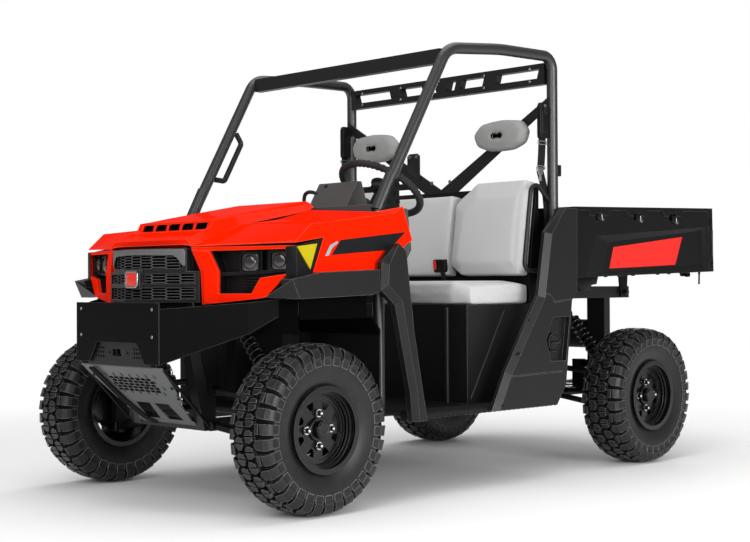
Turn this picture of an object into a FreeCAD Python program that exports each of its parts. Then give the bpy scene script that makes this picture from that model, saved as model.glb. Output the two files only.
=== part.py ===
import FreeCAD
import Part
import Sketcher
import math
import os
import re

# Side by side utility vehicle, millimetres.
# X points to the vehicle's left, the nose points to -Y, and Z is up.
# The origin is on the ground, under the middle of the overall length.
# Each sub-part is drawn from the front axle, and its Placement shifts it by front_axle_y.

SIZES = {
    # Stance
    "front_axle_y": -1197.7,
    "wheelbase": 2160.0,
    "half_track": 671.5,
    "tyre_radius": 328.0,
    "tyre_width": 225.0,
    "tyre_bore": 153.0,
    "fit_clearance": 0.3,
    "run_clearance": 6.0,
    "panel_wall": 4.0,
    "cut_overrun": 2.0,
    # Wheel rim
    "rim_width": 204.0,
    "rim_lip_radius": 167.5,
    "rim_wall": 5.0,
    "rim_disc_offset": 42.0,
    "rim_disc_wall": 6.0,
    "rim_window_inner": 79.0,
    "rim_window_outer": 109.0,
    "rim_ring_radius": 124.0,
    "bolt_circle_radius": 62.0,
    "wheel_nut_radius": 11.0,
    "wheel_nut_length": 24.0,
    "hub_radius": 33.0,
    "hub_cap_reach": 34.0,
    "brake_disc_radius": 105.0,
    "brake_disc_wall": 5.0,
    "brake_disc_offset": -34.0,
    # Knuckles and arms
    "kingpin_inset": 74.0,
    "knuckle_wall": 34.0,
    "knuckle_half_height": 62.0,
    "knuckle_half_length": 36.0,
    "stub_radius": 18.0,
    "arm_height_offset": 84.0,
    "arm_tube_radius": 14.0,
    "arm_bush_radius": 20.0,
    "arm_spread": 140.0,
    "arm_inner_upper_z": 460.0,
    "arm_inner_lower_z": 320.0,
    "ball_joint_radius": 20.0,
    "steering_arm_reach": 80.0,
    "steering_arm_wall": 14.0,
    "tie_rod_radius": 9.0,
    "rack_housing_radius": 27.0,
    "shock_radius": 34.0,
    "shock_rod_radius": 16.0,
    "shock_top_z": 722.0,
    "shock_foot_x": 478.0,
    "half_shaft_radius": 13.0,
    # Chassis
    "rail_x": 190.0,
    "rail_width": 50.0,
    "rail_height": 44.0,
    "rail_z": 300.0,
    "rail_front_y": -170.0,
    "rail_overhang": 230.0,
    "rail_rear_y": "=wheelbase+rail_overhang",
    "upper_rail_rise": 44.0,
    "upper_rail_z": "=2*tyre_radius+upper_rail_rise",
    "upper_rail_rear_y": 330.0,
    "bed_rail_x": 300.0,
    "bed_rail_z": 800.0,
    "bed_rail_height": 60.0,
    "bed_rail_rear_y": 2560.0,
    "post_length": 50.0,
    # Floor
    "floor_z": 352.0,
    "floor_wall": 8.0,
    "floor_half_width": 668.0,
    "floor_front_y": 390.0,
    "floor_rear_y": 1500.0,
    "toe_board_top_z": 700.0,
    "sill_radius": 22.0,
    "sill_x": 694.0,
    "sill_z": 343.0,
    "sill_front_y": 495.0,
    "sill_rear_y": 1440.0,
    # Front side panels
    "kick_panel_x": 762.0,
    "kick_panel_bottom_z": 322.0,
    "kick_panel_top_z": 1043.0,
    "kick_panel_front_y": 320.0,
    "kick_panel_rear_y": 562.0,
    "panel_bevel": 20.0,
    # Rear side panels
    "side_panel_x": 752.0,
    "side_panel_bottom_z": 330.0,
    "side_panel_top_z": 1222.0,
    "side_panel_front_y": 990.0,
    "side_panel_rear_y": 1590.0,
    "fuel_cap_radius": 42.0,
    "fuel_cap_y": 1420.0,
    "fuel_cap_z": 612.0,
    "fuel_cap_depth": 24.0,
    # Seats
    "seat_side_gap": 78.0,
    "seat_half_width": "=sill_x-seat_side_gap",
    "seat_base_front_y": 985.0,
    "seat_base_rear_y": 1466.0,
    "bed_rail_gap": 94.0,
    "bed_rail_front_y": "=seat_base_rear_y+bed_rail_gap",
    "seat_base_top_z": 786.0,
    "seat_gap": 6.0,
    "driver_seat_width": 432.0,
    "cushion_front_y": 968.0,
    "cushion_rear_y": 1400.0,
    "cushion_thickness": 104.0,
    "cushion_bevel": 24.0,
    "back_bottom_z": 905.0,
    "back_top_z": 1372.0,
    "back_thickness": 104.0,
    "back_foot_y": 1297.0,
    "back_lean": 62.0,
    "back_bevel": 34.0,
    "headrest_x": 420.0,
    "headrest_z": 1571.0,
    "headrest_width": 330.0,
    "headrest_height": 150.0,
    "headrest_thickness": 72.0,
    "headrest_hole_radius": 11.0,
    "headrest_hole_spacing": 40.0,
    # Cage
    "cage_tube_radius": 25.0,
    "pillar_foot_x": 628.0,
    "pillar_foot_y": 418.0,
    "pillar_foot_z": 1190.0,
    "roof_front_x": 643.0,
    "roof_front_y": 823.0,
    "roof_front_z": 1887.0,
    "roof_mid_y": 1140.0,
    "roof_mid_z": 1914.0,
    "roof_rear_x": 669.0,
    "roof_rear_y": 1510.0,
    "roof_rear_z": 1921.0,
    "rear_post_bend_z": 1230.0,
    "rear_post_foot_y": 1545.0,
    "rear_post_foot_z": 865.0,
    "roof_front_bend": 110.0,
    "roof_rear_bend": 62.0,
    "roof_mid_bend": 900.0,
    "post_bend": 300.0,
    "header_wall": 40.0,
    "front_header_height": 62.0,
    "rear_header_top_z": 1894.0,
    "rear_header_height": 97.0,
    "rear_header_y": 1482.0,
    "brace_bar_width": 46.0,
    "brace_bar_wall": 8.0,
    "brace_top_z": 1732.0,
    "brace_foot_z": 1340.0,
    "brace_foot_x": 60.0,
    # Hood
    "hood_half_width": 274.0,
    "hood_front_y": -262.0,
    "hood_front_z": 1036.0,
    "hood_rear_y": 384.0,
    "hood_rear_z": 1208.0,
    "hood_wall": 5.0,
    "ridge_inset": 24.0,
    "hood_hinge_y": 390.0,
    "hood_hinge_z": 1190.0,
    "hood_pin_radius": 5.0,
    "hood_lug_x": 150.0,
    "scoop_pitch": 91.0,
    "scoop_width": 76.0,
    # Fenders
    "fender_half_width": 704.0,
    "fender_gap": 4.0,
    "fender_front_y": -256.0,
    "fender_front_z": 1034.0,
    "fender_corner_y": -112.0,
    "fender_corner_z": 1042.0,
    "fender_rib_y": 50.0,
    "fender_bottom_z": 925.0,
    "fender_rear_y": 540.0,
    "fender_top_z": 1194.0,
    # Nose
    "nose_x": 300.0,
    "nose_y": -247.5,
    "nose_yaw": 20.56,
    "nose_bottom_z": 803.0,
    "nose_top_z": 1028.0,
    "nose_crease": 9.0,
    "lamp_depth": 110.0,
    "lamp_recess": 56.0,
    "lens_width": 82.0,
    "lens_height": 76.0,
    # Grille
    "grille_y": -335.0,
    "grille_sweep": 90.0,
    "grille_flat": 70.0,
    "grille_half_width": 305.0,
    "grille_depth": 34.0,
    "grille_top_z": 1024.0,
    "grille_bottom_z": 812.0,
    "badge_width": 104.0,
    "badge_height": 74.0,
    "radiator_wall": 24.0,
    # Flares
    "flare_x": 744.0,
    "flare_tip_x": 590.0,
    "flare_bottom_z": 825.0,
    "flare_front_y": -145.0,
    "flare_rear_y": 314.0,
    # Bumper
    "bumper_half_width": 286.0,
    "bumper_y": -424.0,
    "bumper_top_z": 812.0,
    "bumper_bottom_z": 573.0,
    "bumper_wall": 6.0,
    "bumper_notch_z": 653.0,
    "wing_fold_x": 540.0,
    "wing_fold_y": -190.0,
    "wing_tip_x": 622.0,
    "wing_tip_y": -66.0,
    "wing_tip_top_z": 827.0,
    "wing_tip_bottom_z": 778.0,
    # Skid plate
    "skid_top_z": 560.0,
    "skid_top_y": -404.0,
    "skid_bottom_z": 316.0,
    "skid_top_half_width": 283.0,
    "skid_bottom_half_width": 186.0,
    "skid_wall": 5.0,
    "skid_hole": 14.0,
    # Dashboard
    "dash_front_y": 408.0,
    "dash_rear_y": 640.0,
    "dash_top_z": 1206.0,
    "dash_bottom_z": 800.0,
    "pod_x": 290.0,
    "pod_half_width": 120.0,
    "pod_height": 110.0,
    # Steering wheel
    "steering_x": 395.0,
    "steering_y": 668.0,
    "steering_z": 1290.0,
    "steering_tilt": 34.0,
    "steering_radius": 182.0,
    "steering_grip_radius": 14.0,
    "steering_hub_radius": 46.0,
    "steering_spoke_width": 34.0,
    "column_radius": 20.0,
    "column_length": 330.0,
    # Cargo bed
    "bed_front_y": 1636.0,
    "bed_length": 1140.0,
    "bed_half_width": 704.0,
    "bed_height": 331.0,
    "bed_floor_z": 926.0,
    "bed_wall": 38.0,
    "bed_rail_proud": 6.0,
    "bed_recess": 11.0,
    "bed_pitch": 1.5,
    "bed_pivot_y": 2500.0,
    "bed_pivot_z": 830.0,
    "bed_pin_radius": 12.0,
    "tailgate_wall": 40.0,
    "tailgate_gap": 6.0,
    "gate_pin_radius": 7.0,
    "gate_lug_x": 540.0,
    # Driveline
    "engine_x": 185.0,
    "engine_front_y": 1700.0,
    "engine_length": 520.0,
    "engine_height": 400.0,
    "muffler_radius": 75.0,
    "muffler_y": 2420.0,
    "muffler_z": 610.0,
    "fairlead_spacing": 123.8,
    "fairlead_hole_radius": 5.5,
    "receiver_width": 64.0,
    "receiver_bore": 51.0,
    "receiver_length": 185.0,
    "receiver_pin_inset": 62.0,
    "receiver_pin_radius": 8.2,
    "hip_bar_radius": 10.0,
    "handle_radius": 13.0,
    "handle_reach": 82.0,
}

doc = FreeCAD.newDocument("side_by_side_utv")
sheet = doc.addObject("Spreadsheet::Sheet", "Sizes")
for row, (word, value) in enumerate(SIZES.items(), 1):
    sheet.set(f"A{row}", word)
    sheet.set(f"B{row}", str(value))
    sheet.setAlias(f"B{row}", word)
doc.recompute()

# The sub-parts that are written out, in order.
sub_parts = []


def in_sheet(expression):
    """Write a sum of size names so that it reads their cells."""
    return re.sub(
        r"[a-z][a-z0-9_]*",
        lambda found: "Sizes." + found.group() if found.group() in SIZES else found.group(),
        str(expression),
    )


def size(expression):
    """The present value of a sum of size names."""
    return float(sheet.evalExpression(in_sheet(expression)))


def bind(thing, place, expression):
    """Tie one property of a document object to the sheet."""
    thing.setExpression(place, in_sheet(expression))


def keep(thing, label):
    """Name a finished sub-part and list it for writing."""
    thing.Label = label
    sub_parts.append(thing)
    return thing


def new_body(label, base=("0", "front_axle_y", "0"), kept=True):
    """A body drawn from the front axle, or from a base point of its own."""
    body = doc.addObject("PartDesign::Body", label)
    for axis, expression in zip("xyz", base):
        if expression != "0":
            bind(body, f"Placement.Base.{axis}", expression)
    if kept:
        keep(body, label)
    return body


def origin_feature(body, role):
    """One of the body's own origin planes or axes."""
    return [item for item in body.Origin.OriginFeatures if item.Role == role][0]


def new_sketch(body, plane, height="0", yaw=None, shift=None):
    """A sketch on an origin plane, raised by height along the plane's normal."""
    sketch = body.newObject("Sketcher::SketchObject", f"{body.Name}_sketch")
    sketch.AttachmentSupport = [(origin_feature(body, plane), "")]
    sketch.MapMode = "FlatFace"
    if height != "0":
        bind(sketch, "AttachmentOffset.Base.z", height)
    if shift:
        bind(sketch, "AttachmentOffset.Base.x", shift)
    if yaw:
        sketch.AttachmentOffset = FreeCAD.Placement(
            FreeCAD.Vector(), FreeCAD.Rotation(FreeCAD.Vector(0, 1, 0), 1)
        )
        bind(sketch, "AttachmentOffset.Rotation.Angle", yaw)
    return sketch


def draw_outline(sketch, points):
    """A closed outline whose corners are held at sums of sizes."""
    places = [FreeCAD.Vector(size(across), size(up), 0) for across, up in points]
    first = sketch.GeometryCount
    count = len(places)
    sketch.addGeometry(
        [Part.LineSegment(places[i], places[(i + 1) % count]) for i in range(count)], False
    )
    joins = [
        Sketcher.Constraint("Coincident", first + i, 2, first + (i + 1) % count, 1)
        for i in range(count)
    ]
    start = sketch.ConstraintCount + len(joins)
    holds = []
    for i, place in enumerate(places):
        holds.append(Sketcher.Constraint("DistanceX", first + i, 1, place.x))
        holds.append(Sketcher.Constraint("DistanceY", first + i, 1, place.y))
    sketch.addConstraint(joins + holds)
    for i, (across, up) in enumerate(points):
        bind(sketch, f"Constraints[{start + 2 * i}]", across)
        bind(sketch, f"Constraints[{start + 2 * i + 1}]", up)


def draw_circle(sketch, across, up, radius):
    """A circle held by its centre and radius."""
    index = sketch.GeometryCount
    centre = FreeCAD.Vector(size(across), size(up), 0)
    sketch.addGeometry(Part.Circle(centre, FreeCAD.Vector(0, 0, 1), size(radius)), False)
    start = sketch.ConstraintCount
    sketch.addConstraint(
        [
            Sketcher.Constraint("DistanceX", index, 3, centre.x),
            Sketcher.Constraint("DistanceY", index, 3, centre.y),
            Sketcher.Constraint("Radius", index, size(radius)),
        ]
    )
    for step, expression in enumerate((across, up, radius)):
        bind(sketch, f"Constraints[{start + step}]", expression)


def draw(sketch, shapes):
    """Outlines are lists of points, and circles are tuples of centre and radius."""
    for shape in shapes:
        if isinstance(shape, tuple):
            draw_circle(sketch, *shape)
        else:
            draw_outline(sketch, shape)


def extrude(body, plane, shapes, start, end, cut=False, yaw=None, shift=None):
    """A pad or pocket between two places along the world axis that the plane faces.

    The XZ plane faces -Y, so its sketch lies at the far end of a pad.
    """
    facing_back = plane == "XZ_Plane"
    near, far = (end, start) if cut != facing_back else (start, end)
    height = f"-({near})" if facing_back else near
    sketch = new_sketch(body, plane, height, yaw, shift)
    draw(sketch, shapes)
    kind = "Pocket" if cut else "Pad"
    feature = body.newObject(f"PartDesign::{kind}", f"{body.Name}_{kind.lower()}")
    feature.Profile = sketch
    bind(feature, "Length", f"({end})-({start})")
    sketch.Visibility = False
    return feature


def loft(body, plane, sections, cut=False):
    """A ruled loft through outlines at places along the world axis."""
    sketches = []
    for place, points in sections:
        height = f"-({place})" if plane == "XZ_Plane" else place
        sketch = new_sketch(body, plane, height)
        draw_outline(sketch, points)
        sketches.append(sketch)
    kind = "SubtractiveLoft" if cut else "AdditiveLoft"
    feature = body.newObject(f"PartDesign::{kind}", f"{body.Name}_loft")
    feature.Profile = sketches[0]
    feature.Sections = sketches[1:]
    feature.Ruled = True
    return feature


def revolve(body, plane, shapes, axis="H_Axis", cut=False):
    """A full turn of outlines about an axis of their sketch."""
    sketch = new_sketch(body, plane)
    draw(sketch, shapes)
    kind = "Groove" if cut else "Revolution"
    feature = body.newObject(f"PartDesign::{kind}", f"{body.Name}_{kind.lower()}")
    feature.Profile = sketch
    feature.ReferenceAxis = (sketch, [axis])
    feature.Angle = 360.0
    return feature


def mirror_across(body, features):
    """Repeat features on the other side of the vehicle."""
    copy = body.newObject("PartDesign::Mirrored", f"{body.Name}_mirrored")
    copy.Originals = features
    copy.MirrorPlane = (origin_feature(body, "YZ_Plane"), [""])
    body.Tip = copy
    return copy


def polar(body, features, count, axis_role="X_Axis"):
    """Repeat features around an axis of the body."""
    ring = body.newObject("PartDesign::PolarPattern", f"{body.Name}_ring")
    ring.Originals = features
    ring.Axis = (origin_feature(body, axis_role), [""])
    ring.Angle = 360.0
    ring.Occurrences = count
    body.Tip = ring
    return ring


def mirrored_sub_part(label, source):
    """The same sub-part for the other side of the vehicle."""
    other = doc.addObject("Part::Mirroring", label)
    other.Source = source
    other.Normal = (1, 0, 0)
    return keep(other, label)


def box_outline(left, right, low, high):
    """A rectangle between two places across and two up."""
    return [(left, low), (right, low), (right, high), (left, high)]


def tube_shape(route, radius, bends):
    """A round bar along straight runs, with a bend of the given radius at each inner point."""
    points = [FreeCAD.Vector(*[size(part) for part in point]) for point in route]
    edges = []
    start = points[0]
    for i, bend in enumerate(bends, 1):
        before = (points[i - 1] - points[i]).normalize()
        after = (points[i + 1] - points[i]).normalize()
        reach = size(bend) / math.tan(before.getAngle(after) / 2)
        first = points[i] + before * reach
        last = points[i] + after * reach
        middle_way = (before + after).normalize()
        depth = (size(bend) ** 2 + reach ** 2) ** 0.5 - size(bend)
        edges.append(Part.LineSegment(start, first).toShape())
        edges.append(Part.Arc(first, points[i] + middle_way * depth, last).toShape())
        start = last
    edges.append(Part.LineSegment(start, points[-1]).toShape())
    wire = Part.Wire(edges)
    heading = (points[1] - points[0]).normalize()
    ring = Part.Wire([Part.Circle(points[0], heading, size(radius)).toShape()])
    return wire.makePipeShell([ring], True, False)


def tube(label, route, radius, bends, both_sides=False):
    """A bent tube, or a pair of them on the two sides of the vehicle."""
    shape = tube_shape(route, radius, bends)
    if both_sides:
        other = shape.mirror(FreeCAD.Vector(), FreeCAD.Vector(1, 0, 0))
        shape = Part.makeCompound([shape, other])
    item = doc.addObject("Part::Feature", label)
    item.Shape = shape
    bind(item, "Placement.Base.y", "front_axle_y")
    return keep(item, label)


# Chassis


def make_chassis():
    """Two lower rails with uprights, an upper front cradle and the rails under the bed."""
    body = new_body("chassis_frame")
    rail_in, rail_out = "rail_x", "rail_x+rail_width"
    rail_top = "rail_z+rail_height"
    lower = extrude(
        body, "YZ_Plane",
        [box_outline("rail_front_y", "rail_rear_y", "rail_z", rail_top)],
        rail_in, rail_out,
    )
    upper = extrude(
        body, "YZ_Plane",
        [box_outline("bumper_y+bumper_wall+fit_clearance", "upper_rail_rear_y",
                     "upper_rail_z", "upper_rail_z+rail_height")],
        rail_in, rail_out,
    )
    front_post = extrude(
        body, "YZ_Plane",
        [[("rail_front_y", "rail_z"), ("rail_front_y+post_length", "rail_z"),
          ("bumper_y+post_length*4", "upper_rail_z+rail_height"),
          ("bumper_y+post_length*3", "upper_rail_z+rail_height")]],
        rail_in, rail_out,
    )
    towers = extrude(
        body, "YZ_Plane",
        [box_outline(f"{axle}{way}arm_spread-post_length/2", f"{axle}{way}arm_spread+post_length/2",
                     "rail_z", "arm_inner_upper_z+rail_height/2")
         for axle in ("0", "wheelbase") for way in "-+"],
        rail_in, rail_out,
    )
    dash_post = extrude(
        body, "YZ_Plane",
        [box_outline("upper_rail_rear_y-post_length", "upper_rail_rear_y",
                     "rail_z", "upper_rail_z+rail_height")],
        rail_in, rail_out,
    )
    bed_rail = extrude(
        body, "YZ_Plane",
        [box_outline("bed_rail_front_y", "bed_rail_rear_y",
                     "bed_rail_z", "bed_rail_z+bed_rail_height")],
        "bed_rail_x", "bed_rail_x+rail_width",
    )
    rear_post = extrude(
        body, "YZ_Plane",
        [[("bed_rail_front_y", "rail_z"), ("bed_rail_front_y+post_length", "rail_z"),
          ("bed_rail_front_y+post_length", "bed_rail_z+bed_rail_height"),
          ("bed_rail_front_y", "bed_rail_z+bed_rail_height")],
         [("rail_rear_y-post_length", "rail_z"), ("rail_rear_y", "rail_z"),
          ("rail_rear_y", "bed_rail_z+bed_rail_height"),
          ("rail_rear_y-post_length", "bed_rail_z+bed_rail_height")]],
        "rail_x+rail_width", "bed_rail_x+rail_width",
    )
    pins = extrude(
        body, "YZ_Plane", [("bed_pivot_y", "bed_pivot_z", "bed_pin_radius")],
        "bed_rail_x+rail_width/2", "bed_rail_x+rail_width+3*bed_pin_radius",
    )
    mirror_across(body, [lower, upper, front_post, towers, dash_post, bed_rail, rear_post, pins])
    crossings = [
        ("rail_front_y", "rail_z"), ("rail_front_y+wheelbase/4", "rail_z"),
        ("wheelbase/2", "rail_z"), ("rail_rear_y-post_length", "rail_z"),
        ("engine_front_y", "rail_z"), ("engine_front_y+engine_length-post_length", "rail_z"),
        ("bumper_y+bumper_wall+fit_clearance", "upper_rail_z"),
        ("upper_rail_rear_y-post_length", "upper_rail_z"),
        ("bed_rail_front_y", "bed_rail_z"), ("bed_rail_rear_y-post_length", "bed_rail_z"),
    ]
    bars = [box_outline(y, f"{y}+post_length", z, f"{z}+rail_height") for y, z in crossings]
    extrude(body, "YZ_Plane", bars, f"-({rail_out})", rail_out)
    extrude(
        body, "YZ_Plane",
        [box_outline("bed_rail_front_y", "bed_rail_front_y+post_length",
                     "bed_rail_z", "bed_rail_z+bed_rail_height"),
         box_outline("bed_rail_rear_y-post_length", "bed_rail_rear_y",
                     "bed_rail_z", "bed_rail_z+bed_rail_height")],
        "-(bed_rail_x+rail_width/2)", "bed_rail_x+rail_width/2",
    )


def make_floor():
    """A pressed floor with its toe board, and the round sill along each edge."""
    body = new_body("floor_pan")
    under = "floor_z-floor_wall"
    extrude(
        body, "YZ_Plane",
        [[("floor_rear_y", under), ("floor_rear_y", "floor_z"), ("floor_front_y", "floor_z"),
          ("floor_front_y", "toe_board_top_z"),
          ("floor_front_y-floor_wall", "toe_board_top_z"), ("floor_front_y-floor_wall", under)]],
        "-floor_half_width", "floor_half_width",
    )
    sill = extrude(body, "XZ_Plane", [("sill_x", "sill_z", "sill_radius")],
                   "sill_front_y", "sill_rear_y")
    web = extrude(
        body, "XZ_Plane",
        [box_outline("floor_half_width-floor_wall", "sill_x", under, "floor_z")],
        "sill_front_y", "sill_rear_y",
    )
    mirror_across(body, [sill, web])


# Outlines of the side panels, as shares of their length and height. Each panel has a wide
# bevel along its front edge, so the front corners of its outer face are set back.

kick_rear_share = [(0.35, 1.0), (0.52, 0.95), (0.69, 0.515), (1.0, 0.0)]
kick_front_share = [(0.73, 0.0), (0.665, 0.17), (0.32, 0.657), (0.0, 0.74), (0.02, 0.895)]
kick_face_share = [(0.82, 0.0), (0.76, 0.17), (0.42, 0.68), (0.1, 0.77), (0.12, 0.88)]
side_rear_share = [(0.73, 0.0), (0.84, 0.1), (0.92, 0.528), (0.985, 0.58), (0.99, 1.0)]
side_front_share = [(0.818, 1.0), (0.635, 0.873), (0.547, 0.552), (0.16, 0.184), (0.013, 0.0)]
side_face_share = [(0.85, 1.0), (0.68, 0.865), (0.595, 0.54), (0.2, 0.165), (0.07, 0.0)]
fuel_recess_share = [(0.603, 0.33), (0.683, 0.444), (0.89, 0.444), (0.84, 0.22), (0.658, 0.22)]
side_groove_share = [
    [(0.19, 0.158), (0.79, 0.164), (0.79, 0.17), (0.19, 0.164)],
    [(0.6, 0.566), (0.658, 0.558), (0.708, 0.523), (0.9, 0.535),
     (0.9, 0.529), (0.708, 0.517), (0.658, 0.552), (0.6, 0.56)],
]


def shared_outline(shares, low, high, bottom, top, shift="0"):
    """Corners at shares of a length and a height."""
    return [
        (f"({low})+({shift})+({along})*(({high})-({low}))",
         f"({bottom})+({up})*(({top})-({bottom}))")
        for along, up in shares
    ]


def make_side_panels():
    """The moulded columns before and behind the door opening, on both sides."""
    inner = "sill_x+sill_radius+fit_clearance"

    def kick(shares):
        return shared_outline(
            shares, "kick_panel_front_y", "kick_panel_rear_y", "kick_panel_bottom_z", "kick_panel_top_z",
        )

    def side(shares):
        return shared_outline(
            shares, "side_panel_front_y", "side_panel_rear_y", "side_panel_bottom_z", "side_panel_top_z",
        )

    body = new_body("front_side_panels")
    full = kick(kick_rear_share + kick_front_share)
    front = loft(body, "YZ_Plane", [
        (inner, full), ("kick_panel_x-panel_bevel", full),
        ("kick_panel_x", kick(kick_rear_share + kick_face_share)),
    ])
    mirror_across(body, [front])

    body = new_body("rear_side_panels")
    full = side(side_rear_share + side_front_share)
    rear = loft(body, "YZ_Plane", [
        (inner, full), ("side_panel_x-panel_bevel", full),
        ("side_panel_x", side(side_rear_share + side_face_share)),
    ])
    grooves = extrude(body, "YZ_Plane", [side(groove) for groove in side_groove_share],
                      "side_panel_x-panel_wall", "side_panel_x+cut_overrun", cut=True)
    mirror_across(body, [rear, grooves])
    extrude(body, "YZ_Plane", [side(fuel_recess_share)],
            "side_panel_x-fuel_cap_depth", "side_panel_x+cut_overrun", cut=True)
    cap = new_body("fuel_cap")
    extrude(
        cap, "YZ_Plane", [("fuel_cap_y", "fuel_cap_z", "fuel_cap_radius")],
        "side_panel_x-fuel_cap_depth", "side_panel_x-fuel_cap_depth/4",
    )


# Where the spring starts and ends along the shock absorber
SPRING_SHARE = (0.2, 0.86)

# The brace bars lie on the front of the rear posts, and the headrests on the bars
BRACE_Y = "roof_rear_y-cage_tube_radius-fit_clearance-brace_bar_wall"

# Seats

# The slope of the seat backs
BACK_TILT = "atan(back_lean/(back_top_z-back_bottom_z))"

# Outlines of a seat back from its inner side to its outer side, as shares of width and height:
# its edge, and the raised panel in its middle
back_edge_share = [
    (0.0, 0.13), (0.17, 0.03), (1.0, 0.03), (1.0, 0.98), (0.3, 0.98), (0.065, 0.82), (0.0, 0.76),
]
back_panel_share = [
    (0.15, 0.19), (0.22, 0.14), (0.95, 0.14), (0.95, 0.79), (0.37, 0.79), (0.265, 0.71), (0.2, 0.64),
]
# Outline of a headrest
headrest_share = [
    (0.08, 0.2), (0.3, 0.03), (0.72, 0.03), (0.93, 0.22), (1.0, 0.6), (0.88, 0.93),
    (0.55, 1.0), (0.16, 0.92), (0.0, 0.58),
]
headrest_face_share = [(0.5 + 0.84 * (a - 0.5), 0.5 + 0.8 * (b - 0.5)) for a, b in headrest_share]


def seat_back(label, inner_x, outer_x):
    """A leaning back with a raised panel. Its body's Z runs up along the back."""
    body = new_body(label, ("0", "front_axle_y+back_foot_y", "back_bottom_z"))
    body.Placement.Rotation = FreeCAD.Rotation(FreeCAD.Vector(1, 0, 0), -1)
    bind(body, "Placement.Rotation.Angle", f"-{BACK_TILT}")
    height = f"(back_top_z-back_bottom_z)/cos({BACK_TILT})"
    depth = f"back_thickness*cos({BACK_TILT})"
    edge = shared_outline(back_edge_share, inner_x, outer_x, "0", height)
    panel = shared_outline(back_panel_share, inner_x, outer_x, "0", height)
    loft(body, "XZ_Plane", [("0", panel), ("back_bevel", edge), (depth, edge)])
    return body, height, depth


def make_seats():
    """The seat base, the cushions, the backs and the headrests."""
    half, driver_right = "seat_half_width", "seat_half_width-driver_seat_width"
    base = new_body("seat_base")
    extrude(
        base, "YZ_Plane",
        [box_outline("seat_base_front_y", "seat_base_rear_y", "floor_z+fit_clearance", "seat_base_top_z")],
        f"-{half}+3*panel_wall", f"{half}-3*panel_wall",
    )
    under = "seat_base_top_z+fit_clearance"
    top = f"{under}+cushion_thickness"

    def cushion_outline(set_back, lowered):
        front = f"cushion_front_y+{set_back}*cushion_bevel"
        return [
            (f"{front}+0.5*cushion_bevel", under), (front, f"{under}+0.4*cushion_thickness"),
            (f"{front}+0.2*cushion_bevel", f"{top}-(0.5+{lowered})*cushion_bevel"),
            (f"{front}+cushion_bevel", f"{top}-{lowered}*cushion_bevel"),
            ("cushion_rear_y-3*cushion_bevel", f"{top}-0.5*{lowered}*cushion_bevel"),
            ("cushion_rear_y", f"{top}-0.8*cushion_bevel"), ("cushion_rear_y", under),
        ]

    for label, inner, outer in (
        ("seat_cushion_driver", driver_right, half),
        ("seat_cushion_passenger", f"{driver_right}-seat_gap", f"-{half}"),
    ):
        body = new_body(label)
        way = f"(({outer})-({inner}))/abs(({outer})-({inner}))"
        loft(body, "YZ_Plane", [
            (inner, cushion_outline(0, 0)),
            (f"({outer})-4*cushion_bevel*{way}", cushion_outline(0, 0)),
            (outer, cushion_outline(1.3, 1)),
        ])

    seat_back("seat_back_driver", driver_right, half)
    body, height, depth = seat_back("seat_back_passenger", f"-({driver_right})", f"-{half}")
    extrude(
        body, "XZ_Plane",
        [[(f"-({half}-0.8*driver_seat_width)", f"0.03*{height}"),
          (f"{driver_right}-seat_gap", f"0.03*{height}"),
          (f"{driver_right}-seat_gap", f"0.86*{height}"),
          (f"-({half}-0.93*driver_seat_width)", f"0.86*{height}")]],
        "0.6*back_bevel", depth,
    )
    frame = new_body("seat_back_frame")
    behind = "back_foot_y+back_thickness+fit_clearance"
    extrude(
        frame, "YZ_Plane",
        [[("cushion_rear_y+3*fit_clearance", "seat_base_top_z+fit_clearance"),
          ("seat_base_rear_y", "seat_base_top_z+fit_clearance"),
          ("seat_base_rear_y", "back_bottom_z"),
          (f"{behind}+0.9*back_lean+4*panel_wall", "0.1*back_bottom_z+0.9*back_top_z"),
          (f"{behind}+0.9*back_lean", "0.1*back_bottom_z+0.9*back_top_z"),
          (behind, "back_bottom_z"), ("cushion_rear_y+3*fit_clearance", "back_bottom_z")]],
        f"-{half}", half,
    )
    rests = new_body("headrests")
    box = ("headrest_x-headrest_width/2", "headrest_x+headrest_width/2",
           "headrest_z-headrest_height/2", "headrest_z+headrest_height/2")
    edge, face = shared_outline(headrest_share, *box), shared_outline(headrest_face_share, *box)
    rear = f"{BRACE_Y}-fit_clearance"
    pad = loft(rests, "XZ_Plane", [
        (f"{rear}-headrest_thickness", face), (f"{rear}-0.7*headrest_thickness", edge),
        (f"{rear}-0.15*headrest_thickness", edge), (rear, face),
    ])
    low_x, high_x = "headrest_x-headrest_hole_spacing/2", "headrest_x+headrest_hole_spacing/2"
    reach = (f"{rear}-headrest_thickness-cut_overrun", f"{rear}-0.2*headrest_thickness")
    holes = extrude(
        rests, "XZ_Plane",
        [(low_x, "headrest_z", "headrest_hole_radius"), (high_x, "headrest_z", "headrest_hole_radius")],
        *reach, cut=True,
    )
    neck = extrude(
        rests, "XZ_Plane",
        [box_outline(low_x, high_x, "headrest_z-headrest_hole_radius/2",
                     "headrest_z+headrest_hole_radius/2")],
        *reach, cut=True,
    )
    mirror_across(rests, [pad, holes, neck])


# Cage


def beside_pillar(share, out):
    """A place behind the right front pillar, at a share of its length from its foot."""
    rise, run = "(roof_front_z-pillar_foot_z)", "(roof_front_y-pillar_foot_y)"
    length = f"sqrt({rise}^2+{run}^2)"
    return (
        f"-(pillar_foot_x+{share}*(roof_front_x-pillar_foot_x))",
        f"pillar_foot_y+{share}*{run}+({out})*{rise}/{length}",
        f"pillar_foot_z+{share}*{rise}-({out})*{run}/{length}",
    )


# Ends of the windows in each half of the rear header, as shares of its half width
header_window_share = [(0.05, 0.13), (0.18, 0.4), (0.52, 0.9)]


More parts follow.
